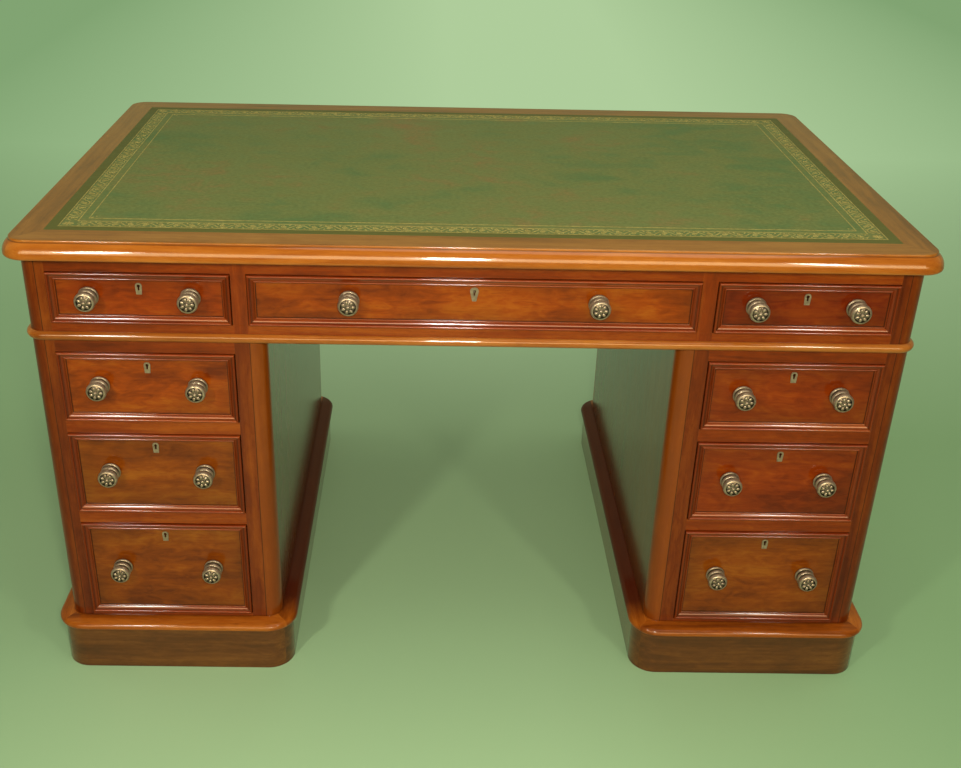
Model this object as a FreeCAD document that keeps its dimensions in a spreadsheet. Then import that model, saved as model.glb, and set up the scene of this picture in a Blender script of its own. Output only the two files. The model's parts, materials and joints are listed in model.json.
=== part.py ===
"""Twin-pedestal writing desk with nine drawers, as a parametric FreeCAD document.

Millimetres. X runs along the desk, Y from the front (negative) to the back, Z up from the floor.
The origin is on the floor, in the middle of the overall plan.
"""
import FreeCAD
import Part
import Sketcher
import math
import os

# Driving sizes, in millimetres.
SIZES = {
    # Top board and its leather
    "top_width": 1372.0,
    "top_depth": 838.0,
    "top_corner_radius": 40.0,
    "top_thickness": 28.5,
    "top_nose_upper_radius": 24.0,
    "top_nose_lower_radius": 4.0,
    "top_step_inset": 11.0,
    "top_step_rounding": 2.0,
    "top_overhang": 22.0,
    "leather_margin": 56.0,
    "leather_thickness": 1.2,
    # Carcase boards and posts
    "case_corner_radius": 24.0,
    "post_backing": 4.0,
    "outer_stile_flat": 14.0,
    "inner_stile_flat": 23.0,
    "back_stile_flat": 14.0,
    "side_thickness": 18.0,
    "back_thickness": 16.0,
    "rail_depth": 55.0,
    "divider_width": 23.0,
    "side_bay_width": 269.0,
    "dust_board_thickness": 12.0,
    "pedestal_board_thickness": 18.0,
    # Heights, from the floor up
    "plinth_board_height": 81.0,
    "plinth_moulding_height": 16.0,
    "base_rail_height": 7.0,
    "bottom_bay_height": 179.0,
    "middle_bay_height": 145.0,
    "top_bay_height": 118.0,
    "pedestal_rail_height": 22.0,
    "pedestal_top_rail_height": 19.0,
    "frieze_bottom_rail_height": 28.0,
    "frieze_bay_height": 82.0,
    "frieze_top_rail_height": 22.5,
    # Plinth and bead mouldings
    "plinth_reach": 18.0,
    "plinth_board_thickness": 20.0,
    "plinth_moulding_lap": 12.0,
    "plinth_moulding_reach": 25.0,
    "plinth_nose_upper_radius": 8.0,
    "plinth_nose_lower_radius": 5.0,
    "plinth_moulding_flat": 2.0,
    "bead_radius": 7.0,
    # Runners, guides, kickers, stops and locating blocks
    "runner_lap": 12.0,
    "guide_height": 24.0,
    "stop_length": 24.0,
    "stop_depth": 16.0,
    "stop_height": 4.0,
    "stop_spread": 55.0,
    "block_length": 60.0,
    "block_width": 30.0,
    "block_gap": 0.4,
    # Drawers
    "drawer_gap": 1.0,
    "front_thickness": 20.0,
    "front_recess": 2.0,
    "front_groove_depth": 6.0,
    "drawer_side_thickness": 10.0,
    "drawer_side_drop": 4.0,
    "drawer_back_thickness": 9.0,
    "drawer_back_drop": 6.0,
    "drawer_back_gap": 25.0,
    "drawer_bottom_thickness": 7.0,
    "drawer_bottom_lift": 8.0,
    "side_groove_depth": 4.0,
    "dovetail_lap": 6.0,
    # Edge moulding of a drawer front
    "moulding_edge_height": 5.0,
    "moulding_bead_radius": 1.9,
    "moulding_quirk": 0.8,
    "moulding_slope_width": 5.6,
    "moulding_slope_fall": 2.8,
    "moulding_slope_radius": 9.0,
    "moulding_inner_step": 0.7,
    "moulding_inner_bead_radius": 1.5,
    # Knobs
    "side_knob_spread": 74.5,
    "centre_knob_spread": 184.0,
    "knob_rise": 2.2,
    "knob_length": 31.5,
    "knob_head_radius": 15.3,
    "knob_rim_length": 5.0,
    "knob_crown": 3.0,
    "knob_step_radius": 13.6,
    "knob_step_length": 3.0,
    "knob_throat_length": 3.0,
    "knob_neck_radius": 12.8,
    "knob_foot_radius": 13.4,
    "knob_foot_length": 3.0,
    "knob_foot_slope": 3.0,
    "knob_stem_radius": 2.5,
    "knob_stem_gap": 0.3,
    "knob_stem_end": 2.0,
    "rose_radius": 15.4,
    "rose_thickness": 3.0,
    "rose_edge": 1.2,
    "nut_radius": 5.5,
    "nut_thickness": 3.5,
    # Locks and escutcheons
    "lock_width": 60.0,
    "lock_height": 38.0,
    "lock_thickness": 10.0,
    "lock_wall": 2.0,
    "bolt_width": 26.0,
    "bolt_length": 20.0,
    "bolt_gap": 0.3,
    "bolt_travel": 7.0,
    "mortise_gap": 1.0,
    "keyhole_drop": 22.0,
    "keyhole_radius": 2.4,
    "keyhole_slot_width": 2.6,
    "keyhole_slot_length": 6.5,
    "escutcheon_radius": 5.0,
    "escutcheon_foot_width": 8.0,
    "escutcheon_length": 18.0,
    "escutcheon_thickness": 1.2,
    "centre_escutcheon_radius": 6.5,
    "centre_escutcheon_foot_width": 6.0,
    "centre_escutcheon_length": 22.0,
}

# Shares of a dovetail's pitch that the tail takes at its tip and at its root.
TAIL_TIP_SHARE = 0.62
TAIL_ROOT_SHARE = 0.46

# Turns about Z that face a piece to the front, the right, the back and the left.
FACE_BACK, FACE_LEFT, FACE_FRONT, FACE_RIGHT = 0, 90, 180, 270

ZERO = "0"
NEAR = 0.001
UP = FreeCAD.Vector(0, 0, 1)
ALONG_X = FreeCAD.Vector(1, 0, 0)

doc = FreeCAD.newDocument("pedestal_desk")
sheet = doc.addObject("Spreadsheet::Sheet", "sizes")
for row, (alias, size) in enumerate(SIZES.items(), start=1):
    sheet.set(f"A{row}", alias)
    sheet.set(f"B{row}", str(size))
    sheet.setAlias(f"B{row}", alias)
doc.recompute()

# Places that several pieces share, as expressions of the sheet.
HALF_CASE = "(sizes.top_width / 2 - sizes.top_overhang)"
OUTER_STILE = "(sizes.case_corner_radius + sizes.outer_stile_flat)"
INNER_STILE = "(sizes.case_corner_radius + sizes.inner_stile_flat)"
BACK_STILE = "(sizes.case_corner_radius + sizes.back_stile_flat)"
POST_DEPTH = "(sizes.case_corner_radius + sizes.post_backing)"
BAY_OUTER = f"({HALF_CASE} - {OUTER_STILE})"
BAY_INNER = f"({BAY_OUTER} - sizes.side_bay_width)"
CENTRE_BAY = f"({BAY_INNER} - sizes.divider_width)"
KNEE_SIDE = f"({BAY_INNER} - {INNER_STILE})"
OUTER_WALL = f"({HALF_CASE} - sizes.side_thickness)"
INNER_WALL = f"({KNEE_SIDE} + sizes.side_thickness)"

CASE_DEPTH = "(sizes.top_depth - 2 * sizes.top_overhang)"
KNOB_REACH = "(sizes.knob_length - sizes.front_recess)"
FRONT = f"(({KNOB_REACH} - sizes.plinth_moulding_reach - {CASE_DEPTH}) / 2)"
BACK = f"({FRONT} + {CASE_DEPTH})"
POSTS_FRONT = f"({FRONT} + {POST_DEPTH})"
POSTS_BACK = f"({BACK} - {POST_DEPTH})"
RAIL_BACK = f"({FRONT} + sizes.rail_depth)"
BACK_WALL = f"({BACK} - sizes.back_thickness)"
DRAWER_FACE = f"({FRONT} + sizes.front_recess)"
DRAWER_INNER = f"({DRAWER_FACE} + sizes.front_thickness)"
DRAWER_REAR = f"({BACK_WALL} - sizes.drawer_back_gap)"
DRAWER_BACK_FACE = f"({DRAWER_REAR} - sizes.drawer_back_thickness)"

PLINTH_TOP = "(sizes.plinth_board_height + sizes.plinth_moulding_height)"
BOTTOM_BAY_LOW = f"({PLINTH_TOP} + sizes.base_rail_height)"
BOTTOM_BAY_HIGH = f"({BOTTOM_BAY_LOW} + sizes.bottom_bay_height)"
MIDDLE_BAY_LOW = f"({BOTTOM_BAY_HIGH} + sizes.pedestal_rail_height)"
MIDDLE_BAY_HIGH = f"({MIDDLE_BAY_LOW} + sizes.middle_bay_height)"
TOP_BAY_LOW = f"({MIDDLE_BAY_HIGH} + sizes.pedestal_rail_height)"
TOP_BAY_HIGH = f"({TOP_BAY_LOW} + sizes.top_bay_height)"
PEDESTAL_TOP = f"({TOP_BAY_HIGH} + sizes.pedestal_top_rail_height)"
FRIEZE_BAY_LOW = f"({PEDESTAL_TOP} + sizes.frieze_bottom_rail_height)"
FRIEZE_BAY_HIGH = f"({FRIEZE_BAY_LOW} + sizes.frieze_bay_height)"
FRIEZE_TOP = f"({FRIEZE_BAY_HIGH} + sizes.frieze_top_rail_height)"
DUST_BOARD_LOW = f"({FRIEZE_BAY_LOW} - sizes.dust_board_thickness)"

# Lock: the bolt slides up in the middle of the case's thickness.
LOCK_FRONT = f"({DRAWER_INNER} - sizes.lock_thickness)"
BOLT_FRONT = f"({LOCK_FRONT} + sizes.lock_wall)"
BOLT_BACK = f"({DRAWER_INNER} - sizes.lock_wall)"

nodes = []


def value(expression):
    """Number that an expression of the sheet comes to."""
    return float(sheet.evalExpression(expression))


def place(piece, x, y, z, turn=0):
    """Bind a piece's position to expressions and turn it about Z by whole degrees."""
    piece.Placement = FreeCAD.Placement(FreeCAD.Vector(), FreeCAD.Rotation(UP, turn))
    for axis, expression in (("x", x), ("y", y), ("z", z)):
        piece.setExpression(f"Placement.Base.{axis}", expression)


def on_side(side, span):
    """A (low, high) span in X, as it is on the right or mirrored to the left."""
    if side == "right":
        return span
    return (f"(-{span[1]})", f"(-{span[0]})")


def box(name, x, y, z):
    """Board between (low, high) expressions on each axis."""
    board = doc.addObject("Part::Box", name)
    for size_name, axis, (low, high) in (("Length", "x", x), ("Width", "y", y), ("Height", "z", z)):
        board.setExpression(size_name, f"{high} - {low}")
        board.setExpression(f"Placement.Base.{axis}", low)
    return board


def bar(name, x, z, radius, y):
    """Round bar along Y between two expressions."""
    round_bar = doc.addObject("Part::Cylinder", name)
    round_bar.setExpression("Radius", radius)
    round_bar.setExpression("Height", f"{y[1]} - {y[0]}")
    place(round_bar, x, y[0], z)
    round_bar.Placement.Rotation = FreeCAD.Rotation(ALONG_X, -90)
    return round_bar


def fused(name, pieces):
    """One solid out of several that meet."""
    union = doc.addObject("Part::MultiFuse", name)
    union.Shapes = pieces
    return union


def cut(name, base, tools):
    """The base with every tool taken out of it."""
    rest = doc.addObject("Part::Cut", name)
    rest.Base = base
    rest.Tool = tools[0] if len(tools) == 1 else fused(f"{name}_tools", tools)
    return rest


def node(label, pieces):
    """Group separate solids as one named sub-part."""
    group = doc.addObject("Part::Compound", label)
    group.Links = pieces
    group.Label = label
    nodes.append(group)
    return group


def origin_plane(body, role):
    """One of a body's own origin planes."""
    return next(plane for plane in body.Origin.OriginFeatures if plane.Role == role)


def arc_between(start, end, radius, turning):
    """Arc from start to end, with its centre on the left (turning 1) or on the right (-1)."""
    chord = end - start
    half = chord.Length / 2
    rise = math.sqrt(max(radius * radius - half * half, 0))
    side = FreeCAD.Vector(-chord.y, chord.x, 0).normalize() * turning
    centre = (start + end) * 0.5 + side * rise
    first, last = (start, end) if turning > 0 else (end, start)
    angles = [math.atan2(spot.y - centre.y, spot.x - centre.x) for spot in (first, last)]
    return Part.ArcOfCircle(Part.Circle(centre, UP, radius), *angles)


def outline(body, name, role, points, arcs=None):
    """Closed sketch on an origin plane of the body.

    points are (x, y) expressions, none of them negative. arcs maps the number of a point to the
    (radius, turning) of the arc that leaves it; the other points are left by straight lines.
    """
    arcs = arcs or {}
    sketch = body.newObject("Sketcher::SketchObject", name)
    sketch.AttachmentSupport = [(origin_plane(body, role), "")]
    sketch.MapMode = "FlatFace"
    spots = [FreeCAD.Vector(value(x), value(y), 0) for x, y in points]
    count = len(spots)
    ends = []
    for number, spot in enumerate(spots):
        following = spots[(number + 1) % count]
        if number in arcs:
            radius, turning = arcs[number]
            sketch.addGeometry(arc_between(spot, following, value(radius), turning), False)
            ends.append((1, 2) if turning > 0 else (2, 1))
        else:
            sketch.addGeometry(Part.LineSegment(spot, following), False)
            ends.append((1, 2))
    constraints = []
    bindings = {}
    for number in range(count):
        following = (number + 1) % count
        constraints.append(
            Sketcher.Constraint("Coincident", number, ends[number][1], following, ends[following][0])
        )
    for number, (x, y) in enumerate(points):
        start = ends[number][0]
        for kind, axis, letter, expression in (("DistanceX", -2, "x", x), ("DistanceY", -1, "y", y)):
            if expression == ZERO:
                constraints.append(Sketcher.Constraint("PointOnObject", number, start, axis))
                continue
            distance = Sketcher.Constraint(kind, -1, 1, number, start, value(expression))
            distance.Name = f"{letter}{number}"
            constraints.append(distance)
            bindings[distance.Name] = expression
    for number, (radius, _) in arcs.items():
        bend = Sketcher.Constraint("Radius", number, value(radius))
        bend.Name = f"radius{number}"
        constraints.append(bend)
        bindings[bend.Name] = radius
    sketch.addConstraint(constraints)
    for constraint_name, expression in bindings.items():
        sketch.setExpression(f"Constraints.{constraint_name}", expression)
    return sketch


def pad(body, name, sketch, length, reverse=False):
    """Pad of a sketch along its normal."""
    feature = body.newObject("PartDesign::Pad", name)
    feature.Profile = sketch
    feature.setExpression("Length", length)
    feature.Reversed = reverse
    return feature


def mirrored(body, name, feature, role):
    """Mirror image of a feature across an origin plane, added to the body."""
    image = body.newObject("PartDesign::Mirrored", name)
    image.Originals = [feature]
    image.MirrorPlane = (origin_plane(body, role), [""])
    body.Tip = image
    return image


def rounded_rectangle(body, name, width, depth, radius, inset):
    """Rectangle with round corners on the body's XY plane, inset all round."""
    far_x = f"({width} - {inset})"
    far_y = f"({depth} - {inset})"
    near = inset
    start = f"({inset} + {radius})"
    points = [
        (start, near),
        (f"({far_x} - {radius})", near),
        (far_x, start),
        (far_x, f"({far_y} - {radius})"),
        (f"({far_x} - {radius})", far_y),
        (start, far_y),
        (near, f"({far_y} - {radius})"),
        (near, start),
    ]
    return outline(body, name, "XY_Plane", points, {corner: (radius, 1) for corner in (1, 3, 5, 7)})


def top_board():
    """Moulded top: a nosed board, a flat raised above the nose and the sinking for the leather."""
    body = doc.addObject("PartDesign::Body", "top_board_body")
    thick = "sizes.top_thickness"
    upper = "sizes.top_nose_upper_radius"
    inset = "sizes.top_step_inset"
    board = rounded_rectangle(
        body, "top_outline", "sizes.top_width", "sizes.top_depth", "sizes.top_corner_radius", ZERO
    )
    pad(body, "top_blank", board, thick)
    for name, level, radius in (
        ("nose_upper", thick, upper),
        ("nose_lower", ZERO, "sizes.top_nose_lower_radius"),
    ):
        doc.recompute()
        base = body.Tip
        rounding = body.newObject("PartDesign::Fillet", name)
        rounding.Base = (base, level_edges(base.Shape, value(level)))
        rounding.setExpression("Radius", radius)
    step = rounded_rectangle(
        body,
        "top_step_outline",
        "sizes.top_width",
        "sizes.top_depth",
        f"(sizes.top_corner_radius - {inset})",
        inset,
    )
    step.setExpression("AttachmentOffset.Base.z", thick)
    raised = pad(body, "top_step", step, upper, reverse=True)
    doc.recompute()
    arris = body.newObject("PartDesign::Fillet", "step_arris")
    arris.Base = (raised, outer_edges(raised.Shape, value(thick), value(inset)))
    arris.setExpression("Radius", "sizes.top_step_rounding")
    margin = "sizes.leather_margin"
    far_x = f"(sizes.top_width - {margin})"
    far_y = f"(sizes.top_depth - {margin})"
    sinking = outline(
        body,
        "leather_outline",
        "XY_Plane",
        [(margin, margin), (far_x, margin), (far_x, far_y), (margin, far_y)],
    )
    sinking.setExpression("AttachmentOffset.Base.z", thick)
    pocket = body.newObject("PartDesign::Pocket", "leather_sinking")
    pocket.Profile = sinking
    pocket.setExpression("Length", "sizes.leather_thickness")
    place(body, "-sizes.top_width / 2", f"{FRONT} - sizes.top_overhang", FRIEZE_TOP)
    return node("top_board", [body])


def level_edges(shape, level):
    """Names of a plain board's edges that lie at one height."""
    return [
        f"Edge{number}"
        for number, edge in enumerate(shape.Edges, start=1)
        if abs(edge.BoundBox.ZMin - level) < NEAR and abs(edge.BoundBox.ZMax - level) < NEAR
    ]


def outer_edges(shape, level, inset):
    """Names of the top's edges at one height that lie along its outline inset all round."""
    far_x = value("sizes.top_width") - inset
    far_y = value("sizes.top_depth") - inset
    names = []
    for name in level_edges(shape, level):
        span = shape.getElement(name).BoundBox
        gaps = (span.XMin - inset, span.XMax - far_x, span.YMin - inset, span.YMax - far_y)
        if any(abs(gap) < NEAR for gap in gaps):
            names.append(name)
    return names


def corner_post(name, width, depth, corner, levels, turn):
    """Upright post with its outer corner rounded, standing at a corner of the case."""
    body = doc.addObject("PartDesign::Body", name)
    radius = "sizes.case_corner_radius"
    plan = outline(
        body,
        f"{name}_plan",
        "XY_Plane",
        [(radius, ZERO), (width, ZERO), (width, depth), (ZERO, depth), (ZERO, radius)],
        {4: (radius, 1)},
    )
    pad(body, f"{name}_pad", plan, f"{levels[1]} - {levels[0]}")
    place(body, corner[0], corner[1], levels[0], turn)
    return body


def case_posts(name, span, front_stiles, levels):
    """Four corner posts of a case: (left, right) front stiles, and like posts at the back."""
    low, high = span
    return [
        corner_post(f"{name}_front_left", front_stiles[0], POST_DEPTH, (low, FRONT), levels, 0),
        corner_post(f"{name}_front_right", POST_DEPTH, front_stiles[1], (high, FRONT), levels, 90),
        corner_post(f"{name}_back_right", BACK_STILE, POST_DEPTH, (high, BACK), levels, 180),
        corner_post(f"{name}_back_left", POST_DEPTH, BACK_STILE, (low, BACK), levels, 270),
    ]


def edge_length(name, profile, arcs, length, spot, turn):
    """Length of moulding or board whose ends bend half way around the case's corners.

    The profile is (distance from the corner's centre, height); the other half of each corner
    belongs to the next length, which meets this one at a mitre.
    """
    body = doc.addObject("PartDesign::Body", name)
    radius = "sizes.case_corner_radius"
    sketch = outline(body, f"{name}_profile", "YZ_Plane", profile, arcs)
    sketch.setExpression("AttachmentOffset.Base.z", f"{length} / 2 - {radius}")
    pad(body, f"{name}_straight", sketch, f"{length} - 2 * {radius}", reverse=True)
    bend = body.newObject("PartDesign::Revolution", f"{name}_bend")
    bend.Profile = sketch
    bend.ReferenceAxis = (sketch, ["V_Axis"])
    bend.Angle = 45
    bend.Reversed = True
    mirrored(body, f"{name}_other_bend", bend, "YZ_Plane")
    place(body, spot[0], spot[1], spot[2], turn)
    return body


def around_case(name, profile, arcs, span, low):
    """Four mitred lengths around a case's plan, from the front to the left side."""
    radius = "sizes.case_corner_radius"
    left, right = span
    middle_x = f"(({left} + {right}) / 2)"
    middle_y = f"(({FRONT} + {BACK}) / 2)"
    wide = f"({right} - {left})"
    sides = (
        ("front", wide, (middle_x, f"{FRONT} + {radius}", low), FACE_FRONT),
        ("right", CASE_DEPTH, (f"{right} - {radius}", middle_y, low), FACE_RIGHT),
        ("back", wide, (middle_x, f"{BACK} - {radius}", low), FACE_BACK),
        ("left", CASE_DEPTH, (f"{left} + {radius}", middle_y, low), FACE_LEFT),
    )
    return [
        edge_length(f"{name}_{side}", profile, arcs, length, spot, turn)
        for side, length, spot, turn in sides
    ]


def bead_lengths():
    """Half-round bead around the lower edge of the frieze unit."""
    face = "sizes.case_corner_radius"
    bead = "sizes.bead_radius"
    profile = [(face, ZERO), (f"{face} + {bead}", bead), (face, f"2 * {bead}")]
    arcs = {0: (bead, 1), 1: (bead, 1)}
    return around_case("bead", profile, arcs, (f"(-{HALF_CASE})", HALF_CASE), PEDESTAL_TOP)


def plinth_lengths(name, span):
    """Boards of one plinth."""
    outer = "(sizes.case_corner_radius + sizes.plinth_reach)"
    inner = f"({outer} - sizes.plinth_board_thickness)"
    high = "sizes.plinth_board_height"
    profile = [(inner, ZERO), (outer, ZERO), (outer, high), (inner, high)]
    return around_case(f"{name}_plinth", profile, {}, span, ZERO)


def plinth_mouldings(name, span):
    """Nosed frame that lies on one plinth and carries the pedestal."""
    face = "sizes.case_corner_radius"
    nose = f"({face} + sizes.plinth_moulding_reach)"
    lower = "sizes.plinth_nose_lower_radius"
    upper = "sizes.plinth_nose_upper_radius"
    high = "sizes.plinth_moulding_height"
    inner = f"({face} - sizes.plinth_moulding_lap)"
    profile = [
        (inner, ZERO),
        (f"({nose} - {lower})", ZERO),
        (nose, lower),
        (f"({nose} - {upper})", f"({lower} + {upper})"),
        (f"({face} + sizes.plinth_moulding_flat)", high),
        (inner, high),
    ]
    arcs = {1: (lower, 1), 2: (upper, 1)}
    return around_case(f"{name}_moulding", profile, arcs, span, "sizes.plinth_board_height")


def mitred_strip(name, length, spot, turn):
    """Strip of a drawer front's edge moulding, lying along local X with its outer edge at local Z zero.

    turn is about Y, seen from the front: the strip's outer edge goes to the bottom, right, top or left.
    """
    body = doc.addObject("PartDesign::Body", name)
    edge = "sizes.moulding_edge_height"
    bead = "sizes.moulding_bead_radius"
    inner = "sizes.moulding_inner_bead_radius"
    slope_start = f"(2 * {bead})"
    slope_top = f"({edge} - sizes.moulding_quirk)"
    slope_end = f"({slope_start} + sizes.moulding_slope_width)"
    slope_foot = f"({slope_top} - sizes.moulding_slope_fall)"
    inner_foot = f"({slope_foot} - sizes.moulding_inner_step)"
    wide = f"({slope_end} + 2 * {inner})"
    # Outer bead, quirk, convex slope towards the panel, inner bead.
    profile = [
        (ZERO, ZERO),
        (edge, ZERO),
        (f"({edge} + {bead})", bead),
        (edge, slope_start),
        (slope_top, slope_start),
        (slope_foot, slope_end),
        (inner_foot, slope_end),
        (f"({inner_foot} + {inner})", f"({slope_end} + {inner})"),
        (inner_foot, wide),
        (ZERO, wide),
    ]
    arcs = {
        1: (bead, 1),
        2: (bead, 1),
        4: ("sizes.moulding_slope_radius", 1),
        6: (inner, 1),
        7: (inner, 1),
    }
    sketch = outline(body, f"{name}_profile", "YZ_Plane", profile, arcs)
    sketch.setExpression("AttachmentOffset.Base.z", f"-{length} / 2")
    pad(body, f"{name}_length", sketch, length)
    notch = outline(
        body,
        f"{name}_mitre",
        "XZ_Plane",
        [(f"({length} / 2 - {wide})", wide), (f"({length} / 2)", ZERO), (f"({length} / 2)", wide)],
    )
    mitre = body.newObject("PartDesign::Pocket", f"{name}_mitre_cut")
    mitre.Profile = notch
    mitre.Type = "ThroughAll"
    mitre.Midplane = True
    mirrored(body, f"{name}_other_mitre", mitre, "YZ_Plane")
    place(body, *spot)
    facing = FreeCAD.Rotation(UP, 180)
    body.Placement.Rotation = FreeCAD.Rotation(FreeCAD.Vector(0, -1, 0), turn).multiply(facing)
    return body


def front_mouldings(name, left, right, low, high):
    """Four mitred strips around the face of a drawer front."""
    middle_x = f"(({left} + {right}) / 2)"
    middle_z = f"(({low} + {high}) / 2)"
    wide = f"({right} - {left})"
    tall = f"({high} - {low})"
    sides = (
        ("bottom", wide, middle_x, low, 0),
        ("right", tall, right, middle_z, 90),
        ("top", wide, middle_x, high, 180),
        ("left", tall, left, middle_z, 270),
    )
    return [
        mitred_strip(f"{name}_moulding_{side}", length, (x, DRAWER_FACE, z), turn)
        for side, length, x, z, turn in sides
    ]


def dovetail(name, x, y, length, centre_z, pitch, tip_at_front):
    """One tail of a drawer side, wider at its tip."""
    tail = doc.addObject("Part::Wedge", name)
    tip = f"({pitch} * {TAIL_TIP_SHARE} / 2)"
    root = f"({pitch} * {TAIL_ROOT_SHARE} / 2)"
    near, far = (tip, root) if tip_at_front else (root, tip)
    bindings = {
        "Xmin": ZERO,
        "X2min": ZERO,
        "Xmax": "sizes.drawer_side_thickness",
        "X2max": "sizes.drawer_side_thickness",
        "Ymin": ZERO,
        "Ymax": length,
        "Zmin": f"-{near}",
        "Zmax": near,
        "Z2min": f"-{far}",
        "Z2max": far,
    }
    for property_name, expression in bindings.items():
        tail.setExpression(property_name, expression)
    place(tail, x, y, centre_z)
    return tail


def tails(name, x, y, length, low, high, count, tip_at_front):
    """Row of tails between two heights."""
    pitch = f"(({high} - {low}) / {count})"
    return [
        dovetail(
            f"{name}_{number}",
            x,
            y,
            length,
            f"({low} + {pitch} * ({number} + 1 / 2))",
            pitch,
            tip_at_front,
        )
        for number in range(count)
    ]


def knob_pair(name, middle_x, centre_z, spread):
    """Two cast knobs with their stems, two roses and two nuts."""
    inner_end = f"({DRAWER_INNER} + sizes.nut_thickness + sizes.knob_stem_end)"
    face = f"({inner_end} - {DRAWER_FACE})"
    stem = "sizes.knob_stem_radius"
    foot = f"({face} + sizes.rose_thickness)"
    end = f"({face} + sizes.knob_length)"
    rim_front = f"({end} - sizes.knob_crown)"
    rim_back = f"({rim_front} - sizes.knob_rim_length)"
    step_back = f"({rim_back} - sizes.knob_step_length)"
    throat = f"({step_back} - sizes.knob_throat_length)"
    foot_end = f"({foot} + sizes.knob_foot_length)"
    head = "sizes.knob_head_radius"
    neck = "sizes.knob_neck_radius"
    crown = f"(({head}^2 + sizes.knob_crown^2) / (2 * sizes.knob_crown))"
    knob_profile = [
        (ZERO, ZERO),
        (stem, ZERO),
        (stem, foot),
        ("sizes.knob_foot_radius", foot),
        ("sizes.knob_foot_radius", foot_end),
        (neck, f"({foot_end} + sizes.knob_foot_slope)"),
        (neck, throat),
        ("sizes.knob_step_radius", step_back),
        ("sizes.knob_step_radius", rim_back),
        (head, rim_back),
        (head, rim_front),
        (ZERO, end),
    ]
    rose_hole = f"({stem} + sizes.knob_stem_gap)"
    rose_profile = [
        (rose_hole, face),
        ("sizes.rose_radius", face),
        ("sizes.rose_radius", f"({face} + sizes.rose_edge)"),
        ("sizes.knob_foot_radius", foot),
        (rose_hole, foot),
    ]
    pieces = []
    for part_name, profile, arcs in (
        (f"{name}_castings", knob_profile, {10: (crown, 1)}),
        (f"{name}_roses", rose_profile, {}),
    ):
        body = doc.addObject("PartDesign::Body", part_name)
        sketch = outline(body, f"{part_name}_profile", "XY_Plane", profile, arcs)
        sketch.setExpression("AttachmentOffset.Base.x", spread)
        turned = body.newObject("PartDesign::Revolution", f"{part_name}_turned")
        turned.Profile = sketch
        turned.ReferenceAxis = (sketch, ["V_Axis"])
        mirrored(body, f"{part_name}_pair", turned, "YZ_Plane")
        place(body, middle_x, inner_end, centre_z, FACE_FRONT)
        pieces.append(body)
    for side, sign in (("left", "-"), ("right", "+")):
        x = f"({middle_x} {sign} {spread})"
        nut_end = f"({DRAWER_INNER} + sizes.nut_thickness)"
        blank = doc.addObject("Part::Prism", f"{name}_{side}_nut_blank")
        blank.setExpression("Circumradius", "sizes.nut_radius")
        blank.setExpression("Height", "sizes.nut_thickness")
        place(blank, x, DRAWER_INNER, centre_z)
        blank.Placement.Rotation = FreeCAD.Rotation(ALONG_X, -90)
        bore = bar(f"{name}_{side}_nut_bore", x, centre_z, rose_hole, (DRAWER_INNER, nut_end))
        pieces.append(cut(f"{name}_{side}_nut", blank, [bore]))
    return pieces


def keyhole(name, middle_x, centre_z, y):
    """Keyhole through a plate: a round eye over a slot."""
    eye = bar(f"{name}_eye", middle_x, centre_z, "sizes.keyhole_radius", y)
    half_slot = "sizes.keyhole_slot_width / 2"
    slot = box(
        f"{name}_slot",
        (f"({middle_x} - {half_slot})", f"({middle_x} + {half_slot})"),
        y,
        (f"({centre_z} - sizes.keyhole_slot_length)", centre_z),
    )
    return [eye, slot]


def escutcheon(name, middle_x, centre_z, kind):
    """Keyhole plate with a round head and a tapered foot."""
    radius = f"sizes.{kind}_radius"
    foot = f"sizes.{kind}_foot_width / 2"
    length = f"sizes.{kind}_length"
    body = doc.addObject("PartDesign::Body", f"{name}_plate")
    head = f"({length} - {radius})"
    points = [
        (f"({radius} - {foot})", ZERO),
        (f"({radius} + {foot})", ZERO),
        (f"(2 * {radius})", head),
        (radius, length),
        (ZERO, head),
    ]
    sketch = outline(body, f"{name}_outline", "XZ_Plane", points, {2: (radius, 1), 3: (radius, 1)})
    pad(body, f"{name}_pad", sketch, "sizes.escutcheon_thickness")
    place(body, f"{middle_x} - {radius}", DRAWER_FACE, f"{centre_z} - {head}")
    y = (f"({DRAWER_FACE} - sizes.escutcheon_thickness)", DRAWER_FACE)
    return cut(name, body, keyhole(f"{name}_hole", middle_x, centre_z, y))


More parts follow.
